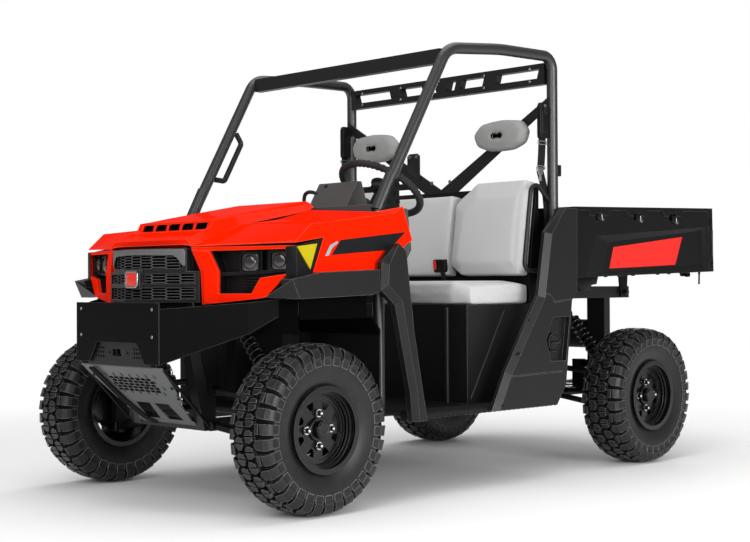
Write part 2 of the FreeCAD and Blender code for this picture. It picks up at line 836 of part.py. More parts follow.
def make_cage():
    """The bent side tubes of the cage with its front and rear headers and the rear brace."""
    tube(
        "cage_side_tubes",
        [("pillar_foot_x", "pillar_foot_y", "floor_z+fit_clearance"),
         ("pillar_foot_x", "pillar_foot_y", "pillar_foot_z"),
         ("roof_front_x", "roof_front_y", "roof_front_z"),
         ("roof_rear_x", "roof_mid_y", "roof_mid_z"),
         ("roof_rear_x", "roof_rear_y", "roof_rear_z"),
         ("roof_rear_x", "roof_rear_y", "rear_post_bend_z"),
         ("roof_rear_x", "rear_post_foot_y", "rear_post_foot_z")],
        "cage_tube_radius",
        ["post_bend", "roof_front_bend", "roof_mid_bend", "roof_rear_bend", "post_bend"],
        both_sides=True,
    )
    header = new_body("cage_front_header")
    extrude(
        header, "YZ_Plane",
        [box_outline("roof_front_y-header_wall/2", "roof_front_y+header_wall/2",
                     "roof_front_z-front_header_height", "roof_front_z")],
        "-(roof_front_x-cage_tube_radius-4*fit_clearance)",
        "roof_front_x-cage_tube_radius-4*fit_clearance",
    )
    header = new_body("cage_rear_header")
    extrude(
        header, "YZ_Plane",
        [box_outline("rear_header_y", "rear_header_y+header_wall",
                     "rear_header_top_z-rear_header_height", "rear_header_top_z")],
        "-(roof_rear_x-cage_tube_radius-fit_clearance)",
        "roof_rear_x-cage_tube_radius-fit_clearance",
    )
    low, high = "rear_header_top_z-0.7*rear_header_height", "rear_header_top_z-0.25*rear_header_height"
    extrude(
        header, "XZ_Plane",
        [[(f"{way}({near}*roof_rear_x)", low), (f"{way}({far}*roof_rear_x)", low),
          (f"{way}({far}*roof_rear_x+header_wall/3)", high),
          (f"{way}({near}*roof_rear_x+header_wall/3)", high)]
         for near, far in header_window_share for way in ("", "-")],
        "rear_header_y-cut_overrun", "rear_header_y+header_wall+cut_overrun", cut=True,
    )
    brace = new_body("cage_rear_brace")
    reach = "roof_rear_x"
    bar = extrude(
        brace, "XZ_Plane",
        [[("-brace_foot_x", "brace_foot_z-brace_bar_width"),
          ("brace_foot_x", "brace_foot_z-brace_bar_width"),
          (reach, "brace_top_z-brace_bar_width"), (reach, "brace_top_z"),
          ("0", "brace_foot_z")]],
        f"{BRACE_Y}", f"{BRACE_Y}+brace_bar_wall",
    )
    mirror_across(brace, [bar])
    upper_end = "roof_rear_y-cage_tube_radius-fit_clearance-0.7*hip_bar_radius"
    post_slope = "(rear_post_foot_y-roof_rear_y)/(rear_post_bend_z-rear_post_foot_z)"
    lower_end = f"{upper_end}+(rear_post_bend_z-back_bottom_z)*{post_slope}"
    tube(
        "hip_bars",
        [("roof_rear_x", upper_end, "rear_post_bend_z+3*hip_bar_radius"),
         ("roof_rear_x", "back_foot_y+back_lean", "back_top_z-hip_bar_radius"),
         ("roof_rear_x", "back_foot_y", "back_bottom_z+3*hip_bar_radius"),
         ("roof_rear_x", f"{lower_end}-hip_bar_radius/4", "back_bottom_z+3*hip_bar_radius")],
        "hip_bar_radius", ["hip_bar_radius*4", "hip_bar_radius*4"], both_sides=True,
    )
    tube(
        "grab_handle",
        [beside_pillar(0.63, "cage_tube_radius+0.5*handle_radius"), beside_pillar(0.6, "handle_reach"),
         beside_pillar(0.33, "handle_reach"), beside_pillar(0.3, "cage_tube_radius+0.5*handle_radius")],
        "handle_radius", ["handle_radius*1.5", "handle_radius*1.5"],
    )


# Hood and nose

# Stations along the hood: share of its length, then the heights of its seam, its ridge and its
# middle as shares of its rise, and the depth of the skin in wall thicknesses
hood_station_share = [
    (0.0, 0.0, 0.13, 0.14, 4.5), (0.01, 0.005, 0.14, 0.15, 1.0), (0.1, 0.1, 0.31, 0.27, 1.0),
    (0.18, 0.2, 0.45, 0.36, 1.0), (0.2, 0.22, 0.6, 0.6, 3.0), (0.4, 0.52, 0.72, 0.75, 1.0),
    (0.95, 0.92, 1.05, 1.12, 1.0), (1.0, 1.0, 1.1, 1.15, 1.0),
]


def make_hood():
    """The hood, drawn as ruled bands between its seam, its side ridges and its middle."""
    body = new_body("hood")
    run, rise = "(hood_rear_y-hood_front_y)", "(hood_rear_z-hood_front_z)"
    sections = []
    for along, seam, ridge, middle, walls in hood_station_share:
        half = [("hood_half_width", seam), ("hood_half_width-ridge_inset", ridge),
                ("hood_half_width-2*ridge_inset", middle)]
        top = [(f"-({across})", f"hood_front_z+{up}*{rise}") for across, up in half]
        top += [(across, f"hood_front_z+{up}*{rise}") for across, up in reversed(half)]
        under = [(across, f"{up}-{walls if 0 < i < 5 else 1.0}*hood_wall") for i,
                 (across, up) in enumerate(top)]
        sections.append((f"hood_front_y+{along}*{run}", top + under[::-1]))
    loft(body, "XZ_Plane", sections)
    extrude(
        body, "XZ_Plane",
        [box_outline(f"{place}*scoop_pitch-scoop_width/2", f"{place}*scoop_pitch+scoop_width/2",
                     f"hood_front_z+0.39*{rise}", f"hood_front_z+0.55*{rise}")
         for place in (-2, -1, 0, 1, 2)],
        f"hood_front_y+0.165*{run}", f"hood_front_y+0.225*{run}", cut=True,
    )
    lug = extrude(
        body, "YZ_Plane",
        [[("hood_hinge_y-1.6*hood_pin_radius", "hood_hinge_z-1.6*hood_pin_radius"),
          ("hood_hinge_y+1.6*hood_pin_radius", "hood_hinge_z-1.6*hood_pin_radius"),
          ("hood_rear_y-2*hood_pin_radius", f"hood_front_z+1.14*{rise}-hood_wall/2"),
          ("hood_rear_y-6*hood_pin_radius", f"hood_front_z+1.12*{rise}-hood_wall/2")]],
        "hood_lug_x", "hood_lug_x+2*hood_pin_radius",
    )
    bore = extrude(body, "YZ_Plane", [("hood_hinge_y", "hood_hinge_z", "hood_pin_radius+fit_clearance")],
                   "hood_lug_x", "hood_lug_x+2*hood_pin_radius", cut=True)
    mirror_across(body, [lug, bore])


def make_fenders():
    """The red fender of each side: its top and its side behind the lamp's rib."""
    body = new_body("fender_left")
    wall = "panel_wall"

    def band(points):
        under = [(across, f"({up})-{wall}") for across, up in reversed(points)]
        return points + under

    seam = "hood_half_width+fender_gap"
    rise = "(fender_top_z-fender_corner_z)"
    lamp_end = "nose_y+(fender_half_width-nose_x)*tan(nose_yaw)"
    crown = [("-0.03*fender_rear_y", f"fender_corner_z+0.46*{rise}"),
             ("0.32*fender_rear_y", f"fender_corner_z+0.6*{rise}")]
    inner = band([
        ("fender_front_y", "fender_front_z"), ("0", f"fender_front_z+0.59*{rise}"),
        ("0.32*fender_rear_y", f"fender_front_z+0.74*{rise}"),
        ("pillar_foot_y-2*cage_tube_radius", "fender_top_z"),
        ("pillar_foot_y-1.8*cage_tube_radius", "fender_top_z"),
    ])
    middle = band([
        ("fender_corner_y", "fender_corner_z"), *crown,
        ("pillar_foot_y-2*cage_tube_radius", f"fender_corner_z+0.83*{rise}"),
        ("pillar_foot_y-1.8*cage_tube_radius", f"fender_corner_z+0.85*{rise}"),
    ])
    outer = band([
        (lamp_end, "fender_corner_z"), *crown, ("0.82*fender_rear_y", f"fender_corner_z+0.83*{rise}"),
        ("0.9*fender_rear_y", f"fender_corner_z+{rise}"),
    ])
    loft(body, "YZ_Plane", [
        (seam, inner), ("pillar_foot_x+cage_tube_radius+run_clearance", middle),
        ("fender_half_width", outer),
    ])
    extrude(
        body, "YZ_Plane",
        [[(lamp_end, f"fender_corner_z-{wall}"),
          ("fender_rib_y", "fender_corner_z+0.12*(fender_top_z-fender_corner_z)"),
          ("fender_rib_y-14*panel_wall", "fender_bottom_z"),
          ("0.75*fender_rear_y", "fender_bottom_z+0.06*(fender_top_z-fender_bottom_z)"),
          ("0.93*fender_rear_y", "fender_bottom_z+0.43*(fender_top_z-fender_bottom_z)"),
          ("fender_rear_y", "fender_bottom_z+0.49*(fender_top_z-fender_bottom_z)"),
          ("0.9*fender_rear_y", "fender_top_z"), ("0.82*fender_rear_y", f"fender_corner_z+0.83*{rise}"),
          *reversed(crown), (lamp_end, "fender_corner_z")]],
        "fender_half_width-panel_wall", "fender_half_width",
    )
    mirrored_sub_part("fender_right", body)

    lower_edge = "nose_top_z-fit_clearance"
    cheek = new_body("lamp_cheeks")
    face = extrude(
        cheek, "YZ_Plane",
        [[(f"{lamp_end}+3*panel_wall", lower_edge),
          ("fender_rib_y-panel_wall", "fender_corner_z+0.08*(fender_top_z-fender_corner_z)"),
          ("fender_rib_y-15*panel_wall", "fender_bottom_z"),
          (f"{lamp_end}+3*panel_wall", "fender_bottom_z-3.5*panel_wall")]],
        "fender_half_width-2*panel_wall", "fender_half_width-panel_wall-fit_clearance",
    )
    mirror_across(cheek, [face])
    marker = new_body("side_markers")
    lens = extrude(
        marker, "YZ_Plane",
        [[(f"{lamp_end}+2*panel_wall", "nose_top_z-panel_wall"),
          ("fender_rib_y-9*panel_wall", "nose_top_z+2*panel_wall"),
          ("fender_rib_y-18*panel_wall", "fender_bottom_z+3*panel_wall")]],
        "fender_half_width-panel_wall", "fender_half_width+panel_wall/2",
    )
    mirror_across(marker, [lens])


# Outlines on the swept corner panel, as shares of its width and its height: the panel, the
# lamp opening, the creased post beside the grille, the line of the crease and the low lamp pocket

nose_panel_share = [
    (-0.07, 1.0), (0.03, 0.573), (0.047, 0.0), (0.61, 0.1), (0.714, 0.133), (0.91, 0.495),
    (1.0, 0.515), (1.0, 1.0),
]
lamp_opening_share = [
    (0.117, 0.93), (0.215, 0.573), (0.215, 0.19), (0.562, 0.19), (0.653, 0.457), (0.975, 0.535),
    (0.975, 0.945),
]
nose_post_share = [(-0.07, 0.96), (0.117, 0.93), (0.215, 0.573), (0.215, 0.03), (0.047, 0.02),
                   (0.03, 0.573)]
nose_crease_share = [(0.0, 0.93), (0.014, 0.93), (0.093, 0.573), (0.093, 0.03), (0.083, 0.03),
                     (0.083, 0.573)]

# Length of the swept corner panel, from the grille to the inside of the fender's side
NOSE_WIDTH = "(fender_half_width-panel_wall-fit_clearance-nose_x)/cos(nose_yaw)"


def nose_body(label):
    """A body on the swept corner panel: X runs outwards along it and Y runs into it."""
    body = new_body(label, ("nose_x", "front_axle_y+nose_y", "0"))
    bind(body, "Placement.Rotation.Angle", "nose_yaw")
    return body


def on_nose(shares):
    """Corners at shares of the swept panel's width and height."""
    return shared_outline(shares, "0", NOSE_WIDTH, "nose_bottom_z", "nose_top_z")


def make_nose():
    """The lamp panels along the swept front corners, each with a creased post at its inner end."""
    body = nose_body("nose_left")
    extrude(body, "XZ_Plane", [on_nose(nose_panel_share)], "0", "panel_wall*4")
    extrude(body, "XZ_Plane", [on_nose(lamp_opening_share)], "-cut_overrun", "panel_wall*5", cut=True)
    loft(body, "XZ_Plane", [
        ("-nose_crease", on_nose(nose_crease_share)), ("0", on_nose(nose_post_share)),
        ("panel_wall", on_nose(nose_post_share)),
    ])
    mirrored_sub_part("nose_right", body)


def make_lamps():
    """The headlamp housings: a deep recess with two lenses over a dividing bar."""
    body = nose_body("headlamp_left")
    face = "panel_wall*4+fit_clearance"
    floor_y = f"{face}+lamp_recess"
    rise = "(nose_top_z-nose_bottom_z)"
    outer = [("0.1", "0.97"), ("0.2", "0.16"), ("0.58", "0.16"), ("0.68", "0.43"), ("0.93", "0.5"),
             ("0.93", "0.97")]
    inner = [("0.13", "0.94"), ("0.215", "0.57"), ("0.215", "0.19"), ("0.562", "0.19"), ("0.65", "0.46"),
             ("0.91", "0.53"), ("0.91", "0.94")]
    extrude(body, "XZ_Plane", [on_nose(outer)], face, "lamp_depth")
    extrude(body, "XZ_Plane", [on_nose(inner)], f"{face}-cut_overrun", floor_y, cut=True)
    middle = f"nose_bottom_z+0.755*{rise}"
    lenses = [
        box_outline(f"{place}*{NOSE_WIDTH}-lens_width/2", f"{place}*{NOSE_WIDTH}+lens_width/2",
                    f"{middle}-lens_height/2", f"{middle}+lens_height/2")
        for place in (0.53, 0.79)
    ]
    extrude(body, "XZ_Plane", lenses, f"{floor_y}-0.7*lamp_recess", f"{floor_y}+panel_wall")
    bar = [("0.2", "0.5"), ("0.92", "0.56"), ("0.92", "0.6"), ("0.2", "0.55")]
    extrude(body, "XZ_Plane", [on_nose(bar)], f"{floor_y}-0.8*lamp_recess", f"{floor_y}+panel_wall")
    mirrored_sub_part("headlamp_right", body)


# The grille's tiers as shares of its height, each with its half width as a share
grille_tier_share = [(0.05, 0.27, 0.95), (0.35, 0.53, 0.95), (0.63, 0.9, 0.77)]


def grille_slab(body, half, low, high, front, back, cut=False):
    """A slab that follows the grille's bow, between two depths behind its front."""
    sections = []
    for way, place in (("-", half), ("-", "grille_flat"), ("", "grille_flat"), ("", half)):
        sweep = f"grille_sweep*({place}-grille_flat)/(grille_half_width-grille_flat)"
        near, far = f"grille_y+{sweep}+({front})", f"grille_y+{sweep}+({back})"
        sections.append((f"{way}({place})", [(near, low), (far, low), (far, high), (near, high)]))
    return loft(body, "YZ_Plane", sections, cut)


def make_grille():
    """The bowed grille with its three tiers and its badge, and the radiator behind it."""
    body = new_body("grille")
    rise = "(grille_top_z-grille_bottom_z)"
    shoulder = f"grille_bottom_z+0.575*{rise}"
    grille_slab(body, "grille_half_width", "grille_bottom_z", shoulder, "0", "grille_depth")
    grille_slab(body, "0.82*grille_half_width", f"{shoulder}-panel_wall", "grille_top_z", "0",
                "grille_depth")
    for low, high, wide in grille_tier_share:
        grille_slab(
            body, f"{wide}*grille_half_width", f"grille_bottom_z+{low}*{rise}",
            f"grille_bottom_z+{high}*{rise}",
            "-cut_overrun", "0.75*grille_depth", cut=True,
        )
    middle = f"grille_bottom_z+0.43*{rise}"
    extrude(
        body, "XZ_Plane",
        [box_outline("-badge_width/2", "badge_width/2", f"{middle}-badge_height/2",
                     f"{middle}+badge_height/2")],
        "grille_y-3*panel_wall", "grille_y+grille_depth",
    )
    core = new_body("radiator")
    bow = "grille_sweep*(0.75*nose_x-grille_flat)/(grille_half_width-grille_flat)"
    behind = f"grille_y+grille_depth+{bow}+fit_clearance"
    extrude(
        core, "XZ_Plane",
        [box_outline("-0.75*nose_x", "0.75*nose_x", "upper_rail_z+rail_height+fit_clearance",
                     "grille_top_z-3*run_clearance")],
        behind, f"{behind}+radiator_wall",
    )


def make_flares():
    """The dark flares over the front wheels, each with a faceted tip under the lamp."""
    body = new_body("front_flares")
    drop = "(fender_bottom_z-flare_bottom_z)"
    flare = extrude(
        body, "YZ_Plane",
        [[("flare_front_y", f"flare_bottom_z+0.75*{drop}"),
          ("flare_front_y+9*panel_wall", "flare_bottom_z"),
          ("0.86*flare_rear_y", f"flare_bottom_z+0.12*{drop}"),
          ("flare_rear_y", f"flare_bottom_z+0.24*{drop}"),
          ("flare_rear_y", "fender_bottom_z+3*panel_wall"),
          ("fender_rib_y-14*panel_wall", "fender_bottom_z-fit_clearance")]],
        "fender_half_width-panel_wall*8", "flare_x",
    )
    low, high = f"flare_bottom_z+0.06*{drop}", f"flare_bottom_z+0.11*{drop}"
    tip = loft(body, "YZ_Plane", [
        ("flare_tip_x", [("flare_front_y+panel_wall", high), ("flare_front_y+1.5*panel_wall", low),
                         ("flare_front_y+10*panel_wall", low), ("flare_front_y+10*panel_wall", high)]),
        ("flare_x", [("flare_front_y", f"flare_bottom_z+0.75*{drop}"),
                     ("flare_front_y+9*panel_wall", "flare_bottom_z"),
                     ("flare_front_y+15*panel_wall", "flare_bottom_z"),
                     ("flare_front_y+15*panel_wall", f"flare_bottom_z+0.75*{drop}")]),
    ])
    mirror_across(body, [flare, tip])


# Bumper and skid plate


def make_bumper():
    """The folded front plate with its notch, its swept wings, and the winch plate in the notch."""
    body = new_body("front_bumper")
    extrude(
        body, "XZ_Plane",
        [[("-bumper_half_width", "bumper_bottom_z"), ("-0.67*bumper_half_width", "bumper_bottom_z"),
          ("-0.48*bumper_half_width", "bumper_notch_z"), ("0.48*bumper_half_width", "bumper_notch_z"),
          ("0.67*bumper_half_width", "bumper_bottom_z"), ("bumper_half_width", "bumper_bottom_z"),
          ("bumper_half_width", "bumper_top_z"), ("-bumper_half_width", "bumper_top_z")]],
        "bumper_y", "bumper_y+bumper_wall",
    )
    fold_top, fold_low = "bumper_top_z", "bumper_bottom_z+0.5*(bumper_top_z-bumper_bottom_z)"

    def wing(place, low, high):
        return (place[0], [(place[1], low), (f"{place[1]}+bumper_wall*1.6", low),
                           (f"{place[1]}+bumper_wall*1.6", high), (place[1], high)])

    stations = [
        wing(("bumper_half_width-bumper_wall/2", "bumper_y"), "bumper_bottom_z",
             "bumper_top_z-4*bumper_wall"),
        wing(("wing_fold_x", "wing_fold_y"), fold_low, fold_top),
        wing(("wing_tip_x", "wing_tip_y"), "wing_tip_bottom_z", "wing_tip_top_z"),
    ]
    side = loft(body, "YZ_Plane", stations)
    mirror_across(body, [side])
    plate = new_body("winch_plate")
    extrude(
        plate, "XZ_Plane",
        [box_outline("-0.75*bumper_half_width", "0.75*bumper_half_width",
                     "bumper_bottom_z-2*run_clearance", "upper_rail_z-fit_clearance")],
        "bumper_y+bumper_wall+run_clearance", "bumper_y+2*bumper_wall+run_clearance",
    )
    fairlead_z = "0.5*(bumper_bottom_z+bumper_notch_z)"
    extrude(
        plate, "XZ_Plane",
        [("-fairlead_spacing/2", fairlead_z, "fairlead_hole_radius"),
         ("fairlead_spacing/2", fairlead_z, "fairlead_hole_radius")],
        "bumper_y+bumper_wall", "bumper_y+3*bumper_wall+run_clearance", cut=True,
    )
    grid = [
        (f"{way}(fairlead_spacing+{column}*3*fairlead_hole_radius)",
         f"{fairlead_z}+{row}*3*fairlead_hole_radius", "fairlead_hole_radius")
        for way in ("", "-") for column in range(-1, 3) for row in (-1, 0, 1)
    ]
    slot = box_outline("-0.35*fairlead_spacing", "0.35*fairlead_spacing",
                       f"{fairlead_z}-2.5*fairlead_hole_radius",
                       f"{fairlead_z}+2.5*fairlead_hole_radius")
    extrude(plate, "XZ_Plane", grid + [slot], "bumper_y+bumper_wall",
            "bumper_y+3*bumper_wall+run_clearance", cut=True)


# Slots of the skid plate's lower half, as shares of its half width and its height
skid_slot_share = [
    [(0.05, 0.36), (0.4, 0.36), (0.45, 0.08), (0.1, 0.08)],
    [(0.7, 0.4), (0.8, 0.4), (0.78, 0.26), (0.68, 0.26)],
    [(0.66, 0.22), (0.76, 0.22), (0.73, 0.08), (0.63, 0.08)],
]


def make_skid():
    """The sloping plate under the nose, drawn as a loft between its two edges, and its holes."""
    body = new_body("skid_plate")

    def edge(half, low, thick):
        return [(f"-{half}", low), (half, low), (half, f"{low}+{thick}"), (f"-{half}", f"{low}+{thick}")]

    loft(body, "XZ_Plane", [
        ("skid_top_y", edge("skid_top_half_width", "skid_top_z-skid_wall", "skid_wall*1.4")),
        ("rail_front_y-fit_clearance", edge("skid_bottom_half_width", "skid_bottom_z", "skid_wall*1.4")),
    ])
    rise = "(skid_top_z-skid_bottom_z)"
    holes = []
    for row in range(4):
        for column in range(-3, 4):
            across = f"({column}+{0.25 if row % 2 else -0.25})*4*skid_hole"
            up = f"skid_bottom_z+0.52*{rise}+{row}*1.7*skid_hole"
            holes.append(box_outline(f"{across}-skid_hole/2", f"{across}+skid_hole/2", up,
                                     f"{up}+skid_hole"))
    for way in ("", "-"):
        for slot in skid_slot_share:
            holes.append([(f"{way}{a}*skid_top_half_width", f"skid_bottom_z+{b}*{rise}") for a, b in slot])
    extrude(body, "XZ_Plane", holes, "skid_top_y-cut_overrun", "rail_front_y-cut_overrun", cut=True)


# Dashboard and steering


def make_dash():
    """The dashboard with its instrument pod."""
    body = new_body("dashboard")
    extrude(
        body, "YZ_Plane",
        [[("dash_front_y", "dash_bottom_z"),
          ("dash_front_y+0.35*(dash_rear_y-dash_front_y)", "dash_bottom_z"),
          ("dash_rear_y", "0.45*dash_bottom_z+0.55*dash_top_z"),
          ("dash_rear_y-0.1*(dash_rear_y-dash_front_y)", "dash_top_z-2*run_clearance"),
          ("dash_front_y", "dash_top_z")]],
        "-(pillar_foot_x-cage_tube_radius-fit_clearance)", "pillar_foot_x-cage_tube_radius-fit_clearance",
    )
    bracket = extrude(
        body, "YZ_Plane",
        [box_outline("hood_hinge_y-2*hood_pin_radius", "dash_front_y+cut_overrun",
                     "hood_hinge_z-2*hood_pin_radius", "hood_hinge_z+hood_pin_radius*1.5")],
        "hood_lug_x+2*hood_pin_radius+fit_clearance", "hood_lug_x+4*hood_pin_radius",
    )
    pin = extrude(body, "YZ_Plane", [("hood_hinge_y", "hood_hinge_z", "hood_pin_radius")],
                  "hood_lug_x-hood_pin_radius", "hood_lug_x+3*hood_pin_radius")
    mirror_across(body, [bracket, pin])
    extrude(
        body, "YZ_Plane",
        [[("dash_front_y+0.1*(dash_rear_y-dash_front_y)", "dash_top_z-4*run_clearance"),
          ("dash_front_y+0.75*(dash_rear_y-dash_front_y)", "dash_top_z-4*run_clearance"),
          ("dash_front_y+0.55*(dash_rear_y-dash_front_y)", "dash_top_z+pod_height"),
          ("dash_front_y+0.45*(dash_rear_y-dash_front_y)", "dash_top_z+pod_height")]],
        "pod_x-pod_half_width", "pod_x+pod_half_width",
    )


def make_steering():
    """The steering wheel on its column. The body's Z is the column's line towards the driver."""
    wheel = new_body("steering_wheel", ("steering_x", "front_axle_y+steering_y", "steering_z"))
    wheel.Placement.Rotation = FreeCAD.Rotation(FreeCAD.Vector(1, 0, 0), -1)
    bind(wheel, "Placement.Rotation.Angle", "-steering_tilt")
    wheel_hub = extrude(wheel, "XY_Plane", [("0", "0", "steering_hub_radius")], "-steering_grip_radius",
                        "steering_grip_radius")
    spokes = extrude(
        wheel, "XY_Plane",
        [box_outline("-steering_radius", "steering_radius", "-steering_spoke_width/2",
                     "steering_spoke_width/2")],
        "-steering_grip_radius/4", "steering_grip_radius/4",
    )
    sketch = new_sketch(wheel, "XZ_Plane")
    draw_circle(sketch, "steering_radius", "0", "steering_grip_radius")
    rim = wheel.newObject("PartDesign::Revolution", "steering_rim")
    rim.Profile = sketch
    rim.ReferenceAxis = (sketch, ["V_Axis"])
    rim.Angle = 360.0


# Driveline and suspension


def make_driveline():
    """The engine and transaxle as one block, the muffler and the receiver tube."""
    engine = new_body("engine_block")
    extrude(
        engine, "YZ_Plane",
        [box_outline("engine_front_y", "engine_front_y+engine_length",
                     "rail_z+rail_height+fit_clearance", "rail_z+rail_height+engine_height")],
        "-engine_x", "engine_x",
    )
    muffler = new_body("muffler")
    extrude(muffler, "YZ_Plane", [("muffler_y", "muffler_z", "muffler_radius")],
            "-(rail_x+rail_width-fit_clearance)", "rail_x+rail_width-fit_clearance")
    receiver = new_body("hitch_receiver")
    extrude(
        receiver, "XZ_Plane",
        [box_outline("-receiver_width/2", "receiver_width/2", "rail_z+rail_height/2-receiver_width/2",
                     "rail_z+rail_height/2+receiver_width/2")],
        "rail_rear_y+fit_clearance", "rail_rear_y+receiver_length",
    )
    extrude(
        receiver, "XZ_Plane",
        [box_outline("-receiver_bore/2", "receiver_bore/2", "rail_z+rail_height/2-receiver_bore/2",
                     "rail_z+rail_height/2+receiver_bore/2")],
        "rail_rear_y+fit_clearance", "rail_rear_y+receiver_length", cut=True,
    )
    extrude(
        receiver, "YZ_Plane",
        [("rail_rear_y+receiver_length-receiver_pin_inset", "rail_z+rail_height/2", "receiver_pin_radius")],
        "-receiver_width", "receiver_width", cut=True,
    )


def make_knuckles():
    """The upright that carries each front wheel, with its stub and steering arm."""
    body = new_body("knuckle_left", ("half_track", "front_axle_y", "tyre_radius"))
    inner, outer = "-kingpin_inset-knuckle_wall/2", "-kingpin_inset+knuckle_wall/2"
    extrude(
        body, "YZ_Plane",
        [box_outline("-knuckle_half_length", "knuckle_half_length", "-knuckle_half_height",
                     "knuckle_half_height")],
        inner, outer,
    )
    extrude(body, "YZ_Plane", [("0", "0", "stub_radius")], outer, "brake_disc_offset-fit_clearance")
    extrude(
        body, "XY_Plane",
        [[("-kingpin_inset-steering_arm_wall", "0"), ("-kingpin_inset+steering_arm_wall", "0"),
          ("-kingpin_inset+steering_arm_wall", "steering_arm_reach"),
          ("-kingpin_inset-steering_arm_wall", "steering_arm_reach")]],
        "steering_arm_wall", "2*steering_arm_wall",
    )
    mirrored_sub_part("knuckle_right", body)


def rod(start, end, radius):
    """A straight round bar between two places."""
    first = FreeCAD.Vector(*[size(part) for part in start])
    last = FreeCAD.Vector(*[size(part) for part in end])
    return Part.makeCylinder(size(radius), first.distanceToPoint(last), first, last - first)


def suspension_arms(kingpin, inner_x):
    """The upper and lower arms of the left wheel, each of two legs and a ball joint."""
    joint_height = "2*(arm_height_offset-knuckle_half_height-fit_clearance)"
    pieces = []
    for way, inner_z in (("-", "arm_inner_lower_z"), ("+", "arm_inner_upper_z")):
        outer_z = f"tyre_radius{way}arm_height_offset"
        for leg in ("-", ""):
            bush_y = f"{leg}arm_spread"
            pieces.append(rod((kingpin, "0", outer_z), (inner_x, bush_y, inner_z), "arm_tube_radius"))
            pieces.append(rod(
                (inner_x, f"{bush_y}-arm_bush_radius", inner_z),
                (inner_x, f"{bush_y}+arm_bush_radius", inner_z),
                "arm_bush_radius",
            ))
        low = f"{outer_z}-({joint_height})/2"
        pieces.append(rod((kingpin, "0", low), (kingpin, "0", f"{low}+{joint_height}"),
                          "ball_joint_radius"))
    return pieces


def rear_upright(kingpin):
    """The rear wheel's upright with its stub axle and half shaft, fixed to the arms."""
    upright = Part.makeBox(size("knuckle_wall"), size("2*knuckle_half_length"), size("2*arm_height_offset"))
    upright.translate(FreeCAD.Vector(
        size(f"{kingpin}-knuckle_wall/2"), size("-knuckle_half_length"),
        size("tyre_radius-arm_height_offset"),
    ))
    stub_end = "half_track+brake_disc_offset-fit_clearance"
    stub = rod((kingpin, "0", "tyre_radius"), (stub_end, "0", "tyre_radius"), "stub_radius")
    shaft_start = "rail_x+rail_width+fit_clearance"
    shaft = rod((shaft_start, "0", "tyre_radius"), (kingpin, "0", "tyre_radius"), "half_shaft_radius")
    return [upright, stub, shaft]


def shock_absorber(foot_z):
    """The left shock absorber, from its seat bar on the upper arm to the frame."""
    top_x = "rail_x+rail_width+shock_rod_radius+fit_clearance"

    def along(share):
        return (
            f"shock_foot_x+{share}*({top_x}-shock_foot_x)", "0",
            f"{foot_z}+{share}*(shock_top_z-({foot_z}))",
        )

    def eye(x, z):
        return rod((x, "-shock_radius/2", z), (x, "shock_radius/2", z), "shock_rod_radius")

    low_share, high_share = SPRING_SHARE
    stem = rod(along(0), along(1), "shock_rod_radius*0.6")
    spring = rod(along(low_share), along(high_share), "shock_radius")
    return eye("shock_foot_x", foot_z).multiFuse([eye(top_x, "shock_top_z"), stem, spring])


def make_suspension():
    """Arms and shock absorbers of both axles. The rear uprights are part of the arms."""
    kingpin = "half_track-kingpin_inset"
    inner_x = "rail_x+rail_width+arm_bush_radius+fit_clearance"
    run = f"({kingpin}-shock_foot_x)/({kingpin}-({inner_x}))"
    seat_z = f"tyre_radius+arm_height_offset+(arm_inner_upper_z-tyre_radius-arm_height_offset)*{run}"
    seat_y = f"arm_spread*{run}"
    seat_bar = rod(("shock_foot_x", f"-{seat_y}", seat_z), ("shock_foot_x", seat_y, seat_z),
                   "shock_rod_radius")
    foot_z = f"{seat_z}+2*shock_rod_radius+fit_clearance"

    for axle, along in (("front", "0"), ("rear", "wheelbase")):
        arms = suspension_arms(kingpin, inner_x) + [seat_bar]
        if axle == "rear":
            arms += rear_upright(kingpin)
        for label, left in ((f"{axle}_arms", arms[0].multiFuse(arms[1:])),
                            (f"{axle}_shocks", shock_absorber(foot_z))):
            right = left.mirror(FreeCAD.Vector(), FreeCAD.Vector(1, 0, 0))
            item = doc.addObject("Part::Feature", label)
            item.Shape = Part.makeCompound([left, right])
            bind(item, "Placement.Base.y", f"front_axle_y+{along}")
            keep(item, label)


def make_steering_rack():
    """The rack housing on the frame, and the sliding bar with its rod ends."""
    rod_z = "tyre_radius+2*steering_arm_wall+run_clearance+tie_rod_radius"
    housing = new_body("rack_housing")
    extrude(housing, "YZ_Plane", [("steering_arm_reach", rod_z, "rack_housing_radius")],
            "-(rail_x+rail_width/2)", "rail_x+rail_width/2")
    extrude(housing, "YZ_Plane", [("steering_arm_reach", rod_z, "tie_rod_radius+fit_clearance")],
            "-(rail_x+rail_width/2)", "rail_x+rail_width/2", cut=True)
    bar = new_body("tie_rods")
    kingpin = "half_track-kingpin_inset"
    extrude(bar, "YZ_Plane", [("steering_arm_reach", rod_z, "tie_rod_radius")], f"-({kingpin})", kingpin)
    eye = extrude(
        bar, "XY_Plane", [(kingpin, "steering_arm_reach", "1.5*tie_rod_radius")],
        f"{rod_z}-1.2*tie_rod_radius", f"{rod_z}+1.2*tie_rod_radius",
    )
    mirror_across(bar, [eye])


